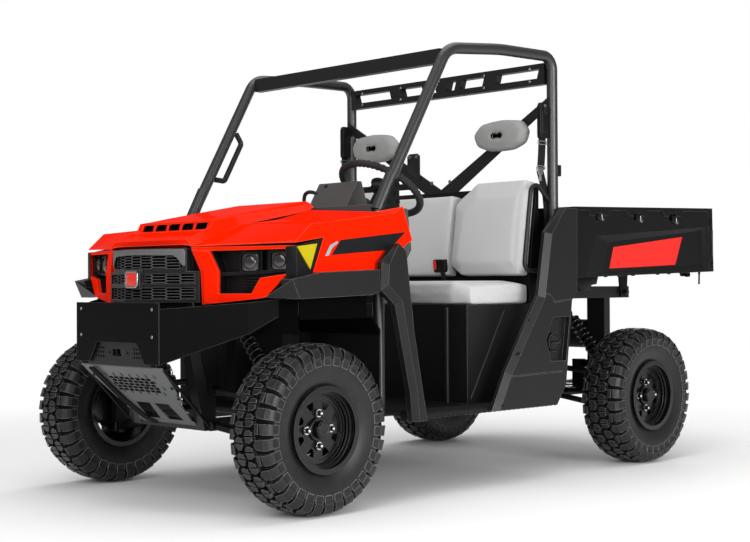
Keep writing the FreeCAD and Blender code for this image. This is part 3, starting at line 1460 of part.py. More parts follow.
def make_liners():
    """The black liners over the front wheels, carried by the upper rails and the flares."""
    body = new_body("wheel_liners")
    top = "upper_rail_z+rail_height+fit_clearance"
    roof = extrude(
        body, "YZ_Plane",
        [[("wing_tip_y+3*bumper_wall", top), ("floor_front_y-floor_wall-12*panel_wall", top),
          ("floor_front_y-floor_wall-fit_clearance", "toe_board_top_z-6*panel_wall"),
          ("floor_front_y-floor_wall-fit_clearance", "toe_board_top_z"),
          ("floor_front_y-floor_wall-10*panel_wall", f"{top}+panel_wall"),
          ("wing_tip_y+3*bumper_wall", f"{top}+panel_wall")]],
        "rail_x", "fender_half_width-panel_wall*8-fit_clearance",
    )
    skirt = extrude(
        body, "YZ_Plane",
        [box_outline("wing_tip_y+3*bumper_wall", "flare_rear_y-run_clearance", top,
                     "fender_bottom_z-10*run_clearance")],
        "fender_half_width-panel_wall*9-fit_clearance", "fender_half_width-panel_wall*8-fit_clearance",
    )
    mirror_across(body, [roof, skirt])


def make_column():
    """The steering column, cut off where it meets the dashboard."""
    place = ("steering_x", "front_axle_y+steering_y", "steering_z")
    column = new_body("column_bar", place, kept=False)
    column.Placement.Rotation = FreeCAD.Rotation(FreeCAD.Vector(1, 0, 0), -1)
    bind(column, "Placement.Rotation.Angle", "-steering_tilt")
    extrude(column, "XY_Plane", [("0", "0", "column_radius")], "-column_length/2",
            "-steering_grip_radius-fit_clearance")
    ended = doc.addObject("Part::Cut", "steering_column")
    ended.Base = column
    ended.Tool = doc.getObject("dashboard")
    keep(ended, "steering_column")


def make_wheel(label, side, along):
    """A tyre and its steel wheel, turning on the local X axis."""
    place = (f"{side}*half_track", f"front_axle_y+{along}", "tyre_radius")
    tyre = new_body(f"tyre_{label}", place)
    half, bore, outer = "tyre_width/2", "tyre_bore", "tyre_radius"
    bead = "rim_width/2-rim_wall-fit_clearance"
    profile = [
        (f"-({bead})", bore), (bead, bore), (bead, f"{bore}+3*rim_wall"),
        (half, f"{bore}+0.45*({outer}-{bore})"), (f"0.96*{half}", f"{bore}+0.86*({outer}-{bore})"),
        (f"0.86*{half}", outer), (f"-0.86*{half}", outer),
        (f"-0.96*{half}", f"{bore}+0.86*({outer}-{bore})"), (f"-{half}", f"{bore}+0.45*({outer}-{bore})"),
        (f"-({bead})", f"{bore}+3*rim_wall"),
    ]
    revolve(tyre, "XY_Plane", [profile])

    rim = new_body(f"rim_{label}", place)
    seat, wall, step = "(tyre_bore-fit_clearance)", "rim_wall", "0.4*hub_cap_reach"
    lip_out, lip_in = "rim_width/2", "rim_width/2-rim_wall"
    disc_in, disc_out = "rim_disc_offset", "rim_disc_offset+rim_disc_wall"

    def outwards(place):
        """A place along the axle, counted from the middle of the tyre towards the outside."""
        return f"{side}*({place})"

    def disc(radii, near, far):
        ends = (outwards(near), outwards(far))
        extrude(rim, "YZ_Plane", radii, *(ends if side > 0 else ends[::-1]))

    barrel = [
        (f"-({lip_out})", f"{seat}-{wall}"), (disc_in, f"{seat}-{wall}"), (disc_in, f"{seat}-3*{wall}"),
        (f"{disc_out}+{step}", f"{seat}-3*{wall}"), (f"{disc_out}+{step}", f"{seat}-2*{wall}"),
        (f"{disc_out}+2*{step}", f"{seat}-2*{wall}"), (f"{disc_out}+2*{step}", f"{seat}-{wall}"),
        (lip_out, f"{seat}-{wall}"), (lip_out, "rim_lip_radius"), (lip_in, "rim_lip_radius"),
        (lip_in, seat), (f"-({lip_in})", seat), (f"-({lip_in})", "rim_lip_radius"),
        (f"-({lip_out})", "rim_lip_radius"),
    ]
    revolve(rim, "XY_Plane", [[(outwards(along_axle), radius) for along_axle, radius in barrel]])
    disc([("0", "0", f"{seat}-2*{wall}")], disc_in, disc_out)
    disc([("0", "0", "hub_radius")], "brake_disc_offset", f"{disc_out}+hub_cap_reach")
    disc([("0", "0", "brake_disc_radius")], "brake_disc_offset", "brake_disc_offset+brake_disc_wall")
    nuts = [
        (f"{ahead}*bolt_circle_radius", f"{up}*bolt_circle_radius", "wheel_nut_radius")
        for ahead, up in ((1, 0), (0, 1), (-1, 0), (0, -1))
    ]
    disc(nuts, disc_out, f"{disc_out}+wheel_nut_length")
    corners = [
        ("rim_window_inner", 16), ("rim_window_outer", 12),
        ("rim_window_outer", 33), ("rim_window_inner", 29),
    ]
    near, far = (disc_in, disc_out) if side > 0 else (disc_out, disc_in)
    window = extrude(
        rim, "YZ_Plane", [[(f"{radius}*cos({turn})", f"{radius}*sin({turn})") for radius, turn in corners]],
        outwards(near), outwards(far), cut=True,
    )
    polar(rim, [window], 8)
    ring = box_outline(
        outwards(disc_out), outwards(f"{disc_out}+rim_disc_wall"),
        "rim_ring_radius-rim_disc_wall", "rim_ring_radius+rim_disc_wall",
    )
    revolve(rim, "XY_Plane", [ring])


# Cargo bed


# The recess in each side of the bed, as shares of its length and height: its rim and its floor
bed_recess_share = [(0.142, 0.582), (0.98, 0.7), (0.975, 0.03), (0.066, 0.03)]
bed_recess_floor_share = [(0.249, 0.493), (0.962, 0.655), (0.955, 0.126), (0.196, 0.081)]
# Places of the tie-down pockets along the rail
bed_pocket_share = [0.168, 0.439, 0.707]


def make_bed():
    """The open cargo bed, drawn level about its rear hinge and tipped by its pitch."""
    place = ("0", "front_axle_y+bed_pivot_y", "bed_pivot_z")
    front, rear = "bed_front_y-bed_pivot_y", "bed_front_y+bed_length-bed_pivot_y"
    floor, top = "bed_floor_z-bed_pivot_z", "bed_floor_z+bed_height-bed_pivot_z"
    body = new_body("cargo_bed", place)
    body.Placement.Rotation = FreeCAD.Rotation(FreeCAD.Vector(1, 0, 0), 1)
    bind(body, "Placement.Rotation.Angle", "bed_pitch")
    extrude(body, "YZ_Plane", [box_outline(front, rear, floor, top)], "-bed_half_width", "bed_half_width")
    extrude(
        body, "YZ_Plane",
        [box_outline(f"{front}+bed_wall", f"{rear}+cut_overrun", f"{floor}+bed_wall/2",
                     f"{top}+cut_overrun")],
        "-(bed_half_width-bed_wall)", "bed_half_width-bed_wall", cut=True,
    )


    def on_side(shares):
        return shared_outline(shares, front, rear, floor, top)

    recess = loft(body, "YZ_Plane", [
        ("bed_half_width+cut_overrun", on_side(bed_recess_share)),
        ("bed_half_width", on_side(bed_recess_share)),
        ("bed_half_width-bed_recess", on_side(bed_recess_floor_share)),
    ], cut=True)
    lower_line = [(0.0, 0.95)]
    for middle in bed_pocket_share:
        lower_line += [(middle - 0.077, 0.95), (middle - 0.064, 0.87), (middle + 0.064, 0.87),
                       (middle + 0.077, 0.95)]
    rail = extrude(body, "YZ_Plane", [on_side(lower_line + [(1.0, 0.95), (1.0, 1.0), (0.0, 1.0)])],
                   "bed_half_width", "bed_half_width+bed_rail_proud")
    pockets = extrude(
        body, "YZ_Plane",
        [on_side([(middle - 0.03, 0.91), (middle + 0.03, 0.91), (middle + 0.02, 0.8), (middle - 0.02, 0.8)])
         for middle in bed_pocket_share],
        "bed_half_width-2*bed_rail_proud", "bed_half_width+2*bed_rail_proud", cut=True,
    )
    lug_start = "bed_rail_x+rail_width+fit_clearance"
    lug = extrude(
        body, "YZ_Plane",
        [[("-3*bed_pin_radius", f"{floor}+fit_clearance"), ("-2*bed_pin_radius", "-2*bed_pin_radius"),
          ("2*bed_pin_radius", "-2*bed_pin_radius"), ("3*bed_pin_radius", f"{floor}+fit_clearance")]],
        lug_start, f"{lug_start}+bed_pin_radius",
    )
    bore = extrude(
        body, "YZ_Plane", [("0", "0", "bed_pin_radius+fit_clearance")],
        lug_start, f"{lug_start}+bed_pin_radius", cut=True,
    )
    hinge_y = f"{rear}+tailgate_gap+2*gate_pin_radius"
    hinge_z = f"{floor}-2*gate_pin_radius"
    gate_lug = extrude(
        body, "YZ_Plane",
        [[(f"{rear}-4*gate_pin_radius", floor),
          (f"{rear}-2*gate_pin_radius", f"{hinge_z}-1.2*gate_pin_radius"),
          (f"{hinge_y}+1.2*gate_pin_radius", f"{hinge_z}-1.2*gate_pin_radius"),
          (f"{hinge_y}+1.2*gate_pin_radius", f"{hinge_z}+gate_pin_radius"),
          (f"{hinge_y}-1.2*gate_pin_radius", f"{hinge_z}+gate_pin_radius"),
          (rear, floor), (rear, f"{floor}+gate_pin_radius"),
          (f"{rear}-4*gate_pin_radius", f"{floor}+gate_pin_radius")]],
        "gate_lug_x", "gate_lug_x+2*gate_pin_radius",
    )
    gate_pin = extrude(body, "YZ_Plane", [(hinge_y, hinge_z, "gate_pin_radius")],
                       "gate_lug_x+gate_pin_radius", "gate_lug_x+5*gate_pin_radius")
    mirror_across(body, [recess, rail, pockets, lug, bore, gate_lug, gate_pin])
    gate = new_body("tailgate", place)
    gate.Placement.Rotation = FreeCAD.Rotation(FreeCAD.Vector(1, 0, 0), 1)
    bind(gate, "Placement.Rotation.Angle", "bed_pitch")
    extrude(
        gate, "YZ_Plane",
        [box_outline(f"{rear}+tailgate_gap", f"{rear}+tailgate_gap+tailgate_wall", floor, top)],
        "-bed_half_width", "bed_half_width",
    )
    gate_ear_x = "gate_lug_x+2*gate_pin_radius+fit_clearance"
    ear = extrude(
        gate, "YZ_Plane",
        [box_outline(f"{hinge_y}-1.8*gate_pin_radius", f"{hinge_y}+1.8*gate_pin_radius",
                     f"{hinge_z}-1.8*gate_pin_radius", floor)],
        gate_ear_x, f"{gate_ear_x}+2*gate_pin_radius",
    )
    ear_bore = extrude(gate, "YZ_Plane", [(hinge_y, hinge_z, "gate_pin_radius+fit_clearance")],
                       gate_ear_x, f"{gate_ear_x}+2*gate_pin_radius", cut=True)
    mirror_across(gate, [ear, ear_bore])


make_chassis()
make_floor()
make_side_panels()
make_seats()
make_cage()
make_hood()
make_fenders()
make_nose()
make_lamps()
make_grille()
make_flares()
make_bumper()
make_skid()
make_dash()
make_steering()
make_driveline()
make_knuckles()
make_suspension()
make_steering_rack()
make_liners()
make_column()
for wheel_label, wheel_side, wheel_along in (
    ("front_left", 1, "0"), ("front_right", -1, "0"),
    ("rear_left", 1, "wheelbase"), ("rear_right", -1, "wheelbase"),
):
    make_wheel(wheel_label, wheel_side, wheel_along)
make_bed()

doc.recompute()
faults = [item.Label for item in doc.Objects if "Invalid" in item.State or "Error" in item.State]
if faults:
    raise RuntimeError(f"features that failed: {faults}")
os.makedirs("parts", exist_ok=True)
for sub_part in sub_parts:
    shape = sub_part.Shape
    if shape.isNull() or not shape.isValid():
        raise RuntimeError(f"{sub_part.Label} has no valid shape")
    shape.exportStep(f"parts/{sub_part.Label}.step")
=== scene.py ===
"""The looks of a utility side by side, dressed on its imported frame.

The CAD nodes hold every rigid size and place. This script gives them their
finishes, and puts finer meshes where a plain solid would look too simple:
mud tyres, steel wheels, vinyl seats, belts, lamps and small fittings.
The finished meshes are in metres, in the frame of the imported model. Shapes
are drawn in millimetres where a name ends in _mm, and in every drawing that
goes through at(), path(), plate() or turned().
"""

import logging
import math
from dataclasses import dataclass
from enum import Enum
from typing import Iterable, Sequence

import bmesh
import bpy
from mathutils import Matrix, Vector


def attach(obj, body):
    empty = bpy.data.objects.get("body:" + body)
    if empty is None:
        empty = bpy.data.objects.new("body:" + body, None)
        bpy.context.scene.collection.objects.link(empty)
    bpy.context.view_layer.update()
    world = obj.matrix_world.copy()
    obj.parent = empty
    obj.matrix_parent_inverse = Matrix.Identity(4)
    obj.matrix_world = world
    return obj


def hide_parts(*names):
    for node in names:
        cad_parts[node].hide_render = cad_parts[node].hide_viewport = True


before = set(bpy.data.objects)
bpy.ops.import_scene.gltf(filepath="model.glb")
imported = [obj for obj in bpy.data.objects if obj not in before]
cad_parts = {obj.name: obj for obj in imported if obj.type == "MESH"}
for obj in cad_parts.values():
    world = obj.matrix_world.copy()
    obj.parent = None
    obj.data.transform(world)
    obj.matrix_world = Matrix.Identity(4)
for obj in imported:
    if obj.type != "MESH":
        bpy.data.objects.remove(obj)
LOG = logging.getLogger("side_by_side")
MILLIMETRE = 0.001

Mesh = bmesh.types.BMesh
Tree = bpy.types.NodeTree
Socket = bpy.types.NodeSocket
Outline = Sequence[tuple[float, float]]
Points = tuple[tuple[float, float], ...]
Point = tuple[float, float, float]
Route = tuple[Point, ...]

# The front axle's place along the row's Y axis, and the wheels' places from it.
FRONT_AXLE_Y = -1.1977
WHEELBASE = 2.160
HALF_TRACK = 0.6715
AXLE_HEIGHT = 0.328

# Directions in the row's frame.
AHEAD = (0, -1, 0)
BEHIND = (0, 1, 0)
LEFT = (1, 0, 0)
UP = (0, 0, 1)
DOWN = (0, 0, -1)
ORIGIN = (0, 0, 0)


# Finishes


def linear(hex_colour: str) -> tuple[float, float, float, float]:
    """Turns an sRGB hex colour into linear RGBA.

    Args:
        hex_colour: A colour such as "#F53A0C".

    Returns:
        The four linear channels.
    """
    channels = [int(hex_colour[place:place + 2], 16) / 255 for place in (1, 3, 5)]
    lifted = [c / 12.92 if c <= 0.04045 else ((c + 0.055) / 1.055) ** 2.4 for c in channels]
    return (*lifted, 1.0)


def add_node(
    tree: Tree, kind: str, inputs: dict | None = None, **settings: object
) -> bpy.types.Node:
    """Adds a shader node, sets it up and links it.

    Args:
        tree: The material's node tree.
        kind: The node's Blender type.
        inputs: Socket names or numbers, each with a value or a socket to link.
        settings: Properties of the node.

    Returns:
        The new node.
    """
    node = tree.nodes.new(kind)
    for name, value in settings.items():
        setattr(node, name, value)
    for socket, value in (inputs or {}).items():
        if isinstance(value, Socket):
            tree.links.new(value, node.inputs[socket])
        else:
            node.inputs[socket].default_value = value
    return node


BEVEL_SAMPLES = 4
# A wave texture makes about 20 bands in its unit length at scale 1.
WAVE_TURNS = 1 / 20
COAT_ROUGHNESS = 0.08
# Where the rounded normal leaves the flat one by this cosine, the painted highlight on an edge starts and is full.
HIGHLIGHT_STARTS, HIGHLIGHT_FULL = 0.985, 0.80


@dataclass(frozen=True)
class Finish:
    """A surface's finish, with the marks that its making leaves on it.

    Its base colour drifts to the patch colour over patches of patch_mm. Its edges look rounded by edge_mm, and a
    painted highlight lightens them to a pale edge colour within a given width. The slot is the CAD material that it
    stands for.
    """

    name: str
    colour: str
    patch_colour: str
    patch_mm: float
    roughness: float
    roughness_spread: float
    grain_mm: float
    grain_depth_mm: float
    metallic: float = 0
    coat: float = 0
    edge_mm: float = 1.5
    specular: float = 0.5
    slot: str = ""
    # Painted highlight: the pale colour that edges are lightened to, and how far from an edge it reaches.
    edge_highlight_colour: str = ""
    edge_highlight_mm: float = 3.0

    def material(self) -> bpy.types.Material:
        """Returns the finish's material, which is made on the first call."""
        made = bpy.data.materials.get(self.name)
        if made:
            return made
        made = bpy.data.materials.new(self.name)
        made.use_nodes = True
        tree = made.node_tree
        tree.nodes.clear()
        place = add_node(tree, "ShaderNodeTexCoord").outputs["Object"]
        shader = add_node(tree, "ShaderNodeBsdfPrincipled", {
            "Base Color": self.colour_socket(tree, place),
            "Roughness": self.roughness_socket(tree, place),
            "Metallic": self.metallic,
            "Coat Weight": self.coat,
            "Coat Roughness": COAT_ROUGHNESS,
            "Specular IOR Level": self.specular,
            "Normal": self.normal_socket(tree, place),
        })
        add_node(tree, "ShaderNodeOutputMaterial", {"Surface": shader.outputs["BSDF"]})
        return made

    @staticmethod
    def noise(tree: Tree, place: Socket, size_mm: float, detail: float = 3.0) -> Socket:
        """Returns noise whose patches are about size_mm across."""
        return add_node(tree, "ShaderNodeTexNoise", {
            "Vector": place, "Scale": 1 / (size_mm * MILLIMETRE), "Detail": detail,
        }).outputs["Fac"]

    def colour_socket(self, tree: Tree, place: Socket) -> Socket:
        """Returns the base colour, which drifts a little from patch to patch and takes a painted highlight on its
        edges.
        """
        base = add_node(tree, "ShaderNodeMix", {
            "Factor": self.noise(tree, place, self.patch_mm),
            "A": linear(self.colour), "B": linear(self.patch_colour),
        }, data_type="RGBA").outputs["Result"]
        if not self.edge_highlight_colour:
            return base
        # Painted highlight: edges are mixed toward the pale edge colour.
        return add_node(tree, "ShaderNodeMix", {
            "Factor": self.edge_highlight_socket(tree), "A": base, "B": linear(self.edge_highlight_colour),
        }, data_type="RGBA").outputs["Result"]

    def edge_highlight_socket(self, tree: Tree) -> Socket:
        """Returns the painted highlight's strength, from 0 on a flat face to 1 at an edge, which is painted pale."""
        rim = add_node(tree, "ShaderNodeBevel", {"Radius": self.edge_highlight_mm * MILLIMETRE}, samples=BEVEL_SAMPLES)
        soft, flat = rim.outputs["Normal"], add_node(tree, "ShaderNodeNewGeometry").outputs["Normal"]
        turn = add_node(tree, "ShaderNodeVectorMath", {0: soft, 1: flat}, operation="DOT_PRODUCT").outputs["Value"]
        return add_node(tree, "ShaderNodeMapRange", {
            "Value": turn, "From Min": HIGHLIGHT_STARTS, "From Max": HIGHLIGHT_FULL,
        }).outputs["Result"]

    def roughness_socket(self, tree: Tree, place: Socket) -> Socket:
        """Returns the roughness, uneven as handling leaves it."""
        return add_node(tree, "ShaderNodeMapRange", {
            "Value": self.noise(tree, place, self.patch_mm / 2),
            "To Min": self.roughness - self.roughness_spread,
            "To Max": self.roughness + self.roughness_spread,
        }).outputs["Result"]

    def height_socket(self, tree: Tree, place: Socket) -> Socket:
        """Returns the height of the surface's grain, from 0 to 1."""
        return self.noise(tree, place, self.grain_mm)

    def normal_socket(self, tree: Tree, place: Socket) -> Socket:
        """Returns the normal, with rounded edges and the grain's bumps."""
        edge = add_node(tree, "ShaderNodeBevel", {"Radius": self.edge_mm * MILLIMETRE}, samples=BEVEL_SAMPLES)
        return add_node(tree, "ShaderNodeBump", {
            "Height": self.height_socket(tree, place),
            "Distance": self.grain_depth_mm * MILLIMETRE,
            "Normal": edge.outputs["Normal"],
        }).outputs["Normal"]


@dataclass(frozen=True)
class DustyRubber(Finish):
    """Moulded rubber under an uneven film of dust."""

    dust_colour: str = "#3A3733"
    dust_share: float = 0.25
    dust_mm: float = 45.0
    # The film starts where the noise passes the first, and is full from the second on.
    dust_starts: float = 0.35
    dust_full: float = 0.75

    def colour_socket(self, tree: Tree, place: Socket) -> Socket:
        """Returns the rubber's black under a thin film of dust."""
        base = super().colour_socket(tree, place)
        film = add_node(tree, "ShaderNodeMapRange", {
            "Value": self.noise(tree, place, self.dust_mm, detail=6.0),
            "From Min": self.dust_starts, "From Max": self.dust_full, "To Max": self.dust_share,
        }).outputs["Result"]
        return add_node(tree, "ShaderNodeMix", {
            "Factor": film, "A": base, "B": linear(self.dust_colour),
        }, data_type="RGBA").outputs["Result"]


@dataclass(frozen=True)
class Webbing(Finish):
    """Woven polyester belt, with its ribs across the strap."""

    thread_mm: float = 1.4
    # How far the ribs wander from straight.
    slack: float = 0.6

    def height_socket(self, tree: Tree, place: Socket) -> Socket:
        """Returns the height of the woven ribs."""
        return add_node(tree, "ShaderNodeTexWave", {
            "Vector": place, "Scale": WAVE_TURNS / (self.thread_mm * MILLIMETRE), "Distortion": self.slack,
        }, bands_direction="Z").outputs["Fac"]


# Each finish gives its name, colour, patch colour and patch size, then its roughness and how far that wanders, then
# its grain's size and depth. All sizes are in millimetres.
# Where a finish gives an edge colour, that colour is a painted highlight along its edges, which stands for light caught
# there.

# Polypropylene moulded in textured tools: a fine even grain that breaks up highlights.
CHARCOAL_PLASTIC = Finish(
    "moulded_polypropylene", "#191919", "#151515", 90, 0.38, 0.05, 0.9, 0.10, specular=0.3, slot="charcoal_plastic",
    edge_highlight_colour="#7A7A7A",
)
DASH_PLASTIC = Finish(
    "dash_polypropylene", "#4C4C4B", "#454544", 90, 0.45, 0.05, 0.9, 0.10, specular=0.3, slot="charcoal_plastic",
    edge_highlight_colour="#8A8A8A",
)
BLACK_PLASTIC = Finish(
    "black_polypropylene", "#0F0F0F", "#0B0B0B", 80, 0.45, 0.05, 0.9, 0.10, specular=0.2, slot="charcoal_plastic",
    edge_highlight_colour="#444444",
)
BLACK_GLOSS = Finish(
    "black_abs", "#0D0D0E", "#0A0A0B", 60, 0.25, 0.04, 2.0, 0.02, specular=0.3, edge_mm=0.5, slot="charcoal_plastic",
)
BED_PLASTIC = Finish(
    "bed_polyethylene", "#121212", "#0F0F0F", 110, 0.42, 0.05, 0.9, 0.10, specular=0.15, slot="charcoal_plastic",
    edge_highlight_colour="#565656",
)
# Painted shade: a near-black, almost matt finish for the backs of openings and the wheel wells, where shade falls.
SHADE_BLACK = Finish(
    "painted_shade_black", "#060606", "#040404", 60, 0.7, 0.05, 1.2, 0.10, specular=0.03, slot="charcoal_plastic",
)
# Pigmented TPO panels with a clear skin: saturated, glossy, with slight orange peel, and a pale pink painted highlight
# on the edges.
RED_PANEL = Finish(
    "painted_panel", "#F71F00", "#F11D00", 160, 0.3, 0.04, 3.0, 0.02, coat=0.14, specular=0, slot="red_plastic",
    edge_highlight_colour="#FF6A48",
)
# Powder coat on welded tube: satin black with an even orange peel.
POWDER_COAT = Finish(
    "black_powder_coat", "#121212", "#0E0E0E", 60, 0.34, 0.05, 1.6, 0.06, specular=0.5, slot="black_powder_coat",
    edge_highlight_colour="#5A5A5A",
)
CHARCOAL_COAT = Finish(
    "charcoal_powder_coat", "#0B0B0B", "#080808", 90, 0.42, 0.05, 1.2, 0.06, specular=0.06, slot="black_powder_coat",
    edge_highlight_colour="#5E5E5E",
)
# The cage's tubes, in the same coat with a stronger gloss, a slightly lighter colour as painted sheen, and painted
# highlights on the edges.
CAGE_COAT = Finish(
    "cage_powder_coat", "#171717", "#131313", 60, 0.38, 0.05, 1.6, 0.06, specular=1, slot="black_powder_coat",
    edge_highlight_colour="#5A5A5A",
)
BLACK_STEEL = Finish(
    "black_painted_steel", "#0B0B0C", "#080809", 50, 0.4, 0.08, 1.4, 0.05, specular=0.2, slot="black_steel",
)
SPRING_COAT = Finish(
    "black_spring_enamel", "#0D0D0E", "#09090A", 30, 0.22, 0.04, 1.4, 0.03, specular=0.7, slot="black_steel",
)
SILVER_PAINT = Finish(
    "silver_painted_steel", "#6E6F70", "#666768", 120, 0.42, 0.05, 0.8, 0.03, metallic=0.35, slot="silver_steel",
)
WHEEL_PAINT = Finish(
    "wheel_enamel", "#0B0B0B", "#080808", 50, 0.22, 0.05, 2.0, 0.02, coat=0.1, specular=0.4, slot="black_wheel_steel",
    edge_highlight_colour="#4C4C4C",
)
CAST_METAL = Finish(
    "sand_cast_aluminium", "#2C2C2C", "#222222", 40, 0.62, 0.08, 1.2, 0.2, metallic=0.5, slot="cast_metal",
)
RADIATOR_METAL = Finish(
    "radiator_fins", "#161718", "#101112", 20, 0.5, 0.08, 2.0, 0.3, metallic=0.5, slot="radiator_aluminium",
)
CHROME = Finish("chrome_plate", "#D9DADB", "#CFD0D2", 30, 0.12, 0.04, 2.0, 0.01, metallic=1, edge_mm=0.6)
SATIN_CHROME = Finish("satin_chrome", "#B4B5B6", "#A8A9AB", 30, 0.26, 0.04, 1.0, 0.01, metallic=1, edge_mm=0.5)
ZINC = Finish("zinc_plate", "#9FA0A1", "#8C8D8F", 20, 0.3, 0.06, 1.2, 0.02, metallic=1, edge_mm=0.6)
# Vinyl-skinned foam, with a leather-like grain pressed in.
SEAT_VINYL = Finish(
    "seat_vinyl", "#C6C6C6", "#C0C0C0", 120, 0.6, 0.05, 1.3, 0.12, edge_mm=0.5, specular=0.25, slot="grey_vinyl",
)
HEADREST_FOAM = Finish(
    "headrest_skin", "#979796", "#919190", 120, 0.6, 0.05, 1.3, 0.12, edge_mm=0.5, specular=0.25, slot="grey_vinyl",
)
GRIP_RUBBER = DustyRubber(
    "grip_rubber", "#0C0C0C", "#090909", 30, 0.5, 0.06, 1.0, 0.1, specular=0.25, dust_share=0.1, slot="grip_rubber",
)
# Tyre rubber under dust, with a pale painted highlight along the lugs' edges.
TYRE_RUBBER = DustyRubber(
    "tyre_rubber", "#121212", "#0E0E0E", 60, 0.40, 0.06, 1.4, 0.12, specular=0.42, slot="tyre", edge_highlight_colour="#8C8C8C",
    dust_share=0.15,
)
# The grooves' floor: a darker, matt rubber with less dust than the tread, as painted shade in the grooves.
GROOVE_SHADE_RUBBER = DustyRubber(
    "groove_shade_rubber", "#0A0A0B", "#070708", 60, 0.7, 0.06, 1.4, 0.12, specular=0.1, dust_share=0.05, slot="tyre",
)
BELT_WEBBING = Webbing("belt_webbing", "#141415", "#0F0F10", 20, 0.8, 0.04, 1.4, 0.3, edge_mm=0.3, specular=0.3)
BUTTON_RED = Finish("red_abs", "#D9201A", "#CC1C16", 20, 0.35, 0.05, 1.5, 0.02, edge_mm=0.5)
# Moulded yellow acrylic with a satin face.
MARKER_LENS = Finish(
    "marker_acrylic", "#BFAE04", "#B3A203", 30, 0.3, 0.05, 1.5, 0.03, edge_mm=0.6, specular=0.3, slot="marker_lens",
)
TAIL_LENS = Finish("tail_lamp_acrylic", "#2A0907", "#200605", 30, 0.2, 0.04, 1.5, 0.02, edge_mm=0.6, coat=0.3)
LAMP_REFLECTOR = Finish("lamp_reflector", "#4A4A4B", "#3A3A3B", 20, 0.2, 0.05, 2.0, 0.02, metallic=0.9, edge_mm=0.4)
LAMP_PROJECTOR = Finish(
    "lamp_projector", "#232021", "#1A1819", 20, 0.08, 0.02, 3.0, 0.01, edge_mm=0.4, specular=0.8, coat=0.6,
)
BADGE_ENAMEL = Finish("badge_enamel", "#EB2A14", "#E42611", 20, 0.2, 0.04, 2.0, 0.01, edge_mm=0.4, coat=0.3)
# Cast vinyl films: even colour, a faint sheen and soft edges.
DARK_FILM = Finish("dark_vinyl_film", "#1C1D1F", "#191A1C", 60, 0.34, 0.04, 1.5, 0.01, edge_mm=0.2, specular=0.1)
RED_FILM = Finish("red_vinyl_film", "#E8332C", "#E12E28", 60, 0.34, 0.04, 1.5, 0.01, edge_mm=0.2, specular=0.05)
PALE_FILM = Finish("pale_vinyl_film", "#86AEB4", "#7EA7AE", 60, 0.34, 0.04, 1.5, 0.01, edge_mm=0.2, specular=0.3)

SEATS = ("seat_cushion_driver", "seat_cushion_passenger", "seat_back_driver", "seat_back_passenger")
CORNERS = ("front_left", "front_right", "rear_left", "rear_right")
NODE_FINISHES: dict[Finish, tuple[str, ...]] = {
    CAGE_COAT: ("cage_side_tubes",),
    POWDER_COAT: (
        "chassis_frame", "cage_front_header", "cage_rear_header", "cage_rear_brace", "hip_bars", "grab_handle",
        "winch_plate", "hitch_receiver",
    ),
    CHARCOAL_COAT: ("front_bumper",),
    BLACK_STEEL: (
        "front_arms", "rear_arms", "front_shocks", "rear_shocks",
        "knuckle_left", "knuckle_right", "tie_rods", "rack_housing",
    ),
    CHARCOAL_PLASTIC: (
        "front_side_panels", "rear_side_panels", "seat_base", "grille", "front_flares", "fuel_cap",
    ),
    DASH_PLASTIC: ("dashboard",),
    BED_PLASTIC: ("cargo_bed", "tailgate"),
    BLACK_PLASTIC: (
        "floor_pan", "seat_back_frame", "steering_column", "headlamp_left", "headlamp_right", "lamp_cheeks",
    ),
    RED_PANEL: ("fender_left", "fender_right", "nose_left", "nose_right", "hood"),
    MARKER_LENS: ("side_markers",),
    # The wheel liners are black moulding, darkened further as painted shade in the wells.
    SHADE_BLACK: ("wheel_liners",),
    SEAT_VINYL: SEATS,
    HEADREST_FOAM: ("headrests",),
    SILVER_PAINT: ("skid_plate",),
    RADIATOR_METAL: ("radiator",),
    CAST_METAL: ("engine_block", "muffler"),
    GRIP_RUBBER: ("steering_wheel",),
    TYRE_RUBBER: tuple(f"tyre_{corner}" for corner in CORNERS),
    WHEEL_PAINT: tuple(f"rim_{corner}" for corner in CORNERS),
}


def dress_nodes() -> None:
    """Gives every CAD node its finish."""
    for finish, names in NODE_FINISHES.items():
        for name in names:
            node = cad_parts[name]
            if not node.material_slots:
                node.data.materials.append(finish.material())
            for place in node.material_slots:
                place.link = "OBJECT"
                place.material = finish.material()


# Meshes


def stored(mesh: Mesh, name: str) -> bpy.types.Mesh:
    """Writes a bmesh to a new mesh, and frees it."""
    data = bpy.data.meshes.new(name)
    mesh.to_mesh(data)
    mesh.free()
    return data


def shown(data: bpy.types.ID) -> bpy.types.Object:
    """Puts a mesh, a lamp or a camera into the scene as an object of the same name."""
    made = bpy.data.objects.new(data.name, data)
    bpy.context.scene.collection.objects.link(made)
    return made


def everything(mesh: Mesh) -> list:
    """Returns all of a mesh's vertices, edges and faces."""
    return mesh.verts[:] + mesh.edges[:] + mesh.faces[:]


def cut(mesh: Mesh, reach: float) -> None:
    """Adds edges to a mesh where X is a distance either way from the middle."""
    for side in (1, -1):
        bmesh.ops.bisect_plane(mesh, geom=everything(mesh), plane_co=(side * reach, 0, 0), plane_no=LEFT)


def sharp_edges(mesh: Mesh, degrees: float) -> list[bmesh.types.BMEdge]:
    """Returns the edges between two faces that turn by more than an angle."""
    return [e for e in mesh.edges if len(e.link_faces) == 2 and e.calc_face_angle(0.0) > math.radians(degrees)]


def piece(
    name: str, mesh: Mesh, finish: Finish, body: str = "chassis", smooth: float = 35
) -> bpy.types.Object:
    """Turns a finished bmesh into a piece that rides on a body.

    Args:
        name: The piece's name.
        mesh: Its shape, in the row's frame. It is freed here.
        finish: The finish of its surface.
        body: The CAD body that carries it.
        smooth: Edges flatter than this are shaded smooth.

    Returns:
        The new object.
    """
    for edge in mesh.edges:
        edge.smooth = len(edge.link_faces) != 2 or edge.calc_face_angle(0.0) < math.radians(smooth)
    for face in mesh.faces:
        face.smooth = True
    made = shown(stored(mesh, name))
    made.data.materials.append(finish.material())
    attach(made, body)
    LOG.info("piece %s rides on %s", name, body)
    return made


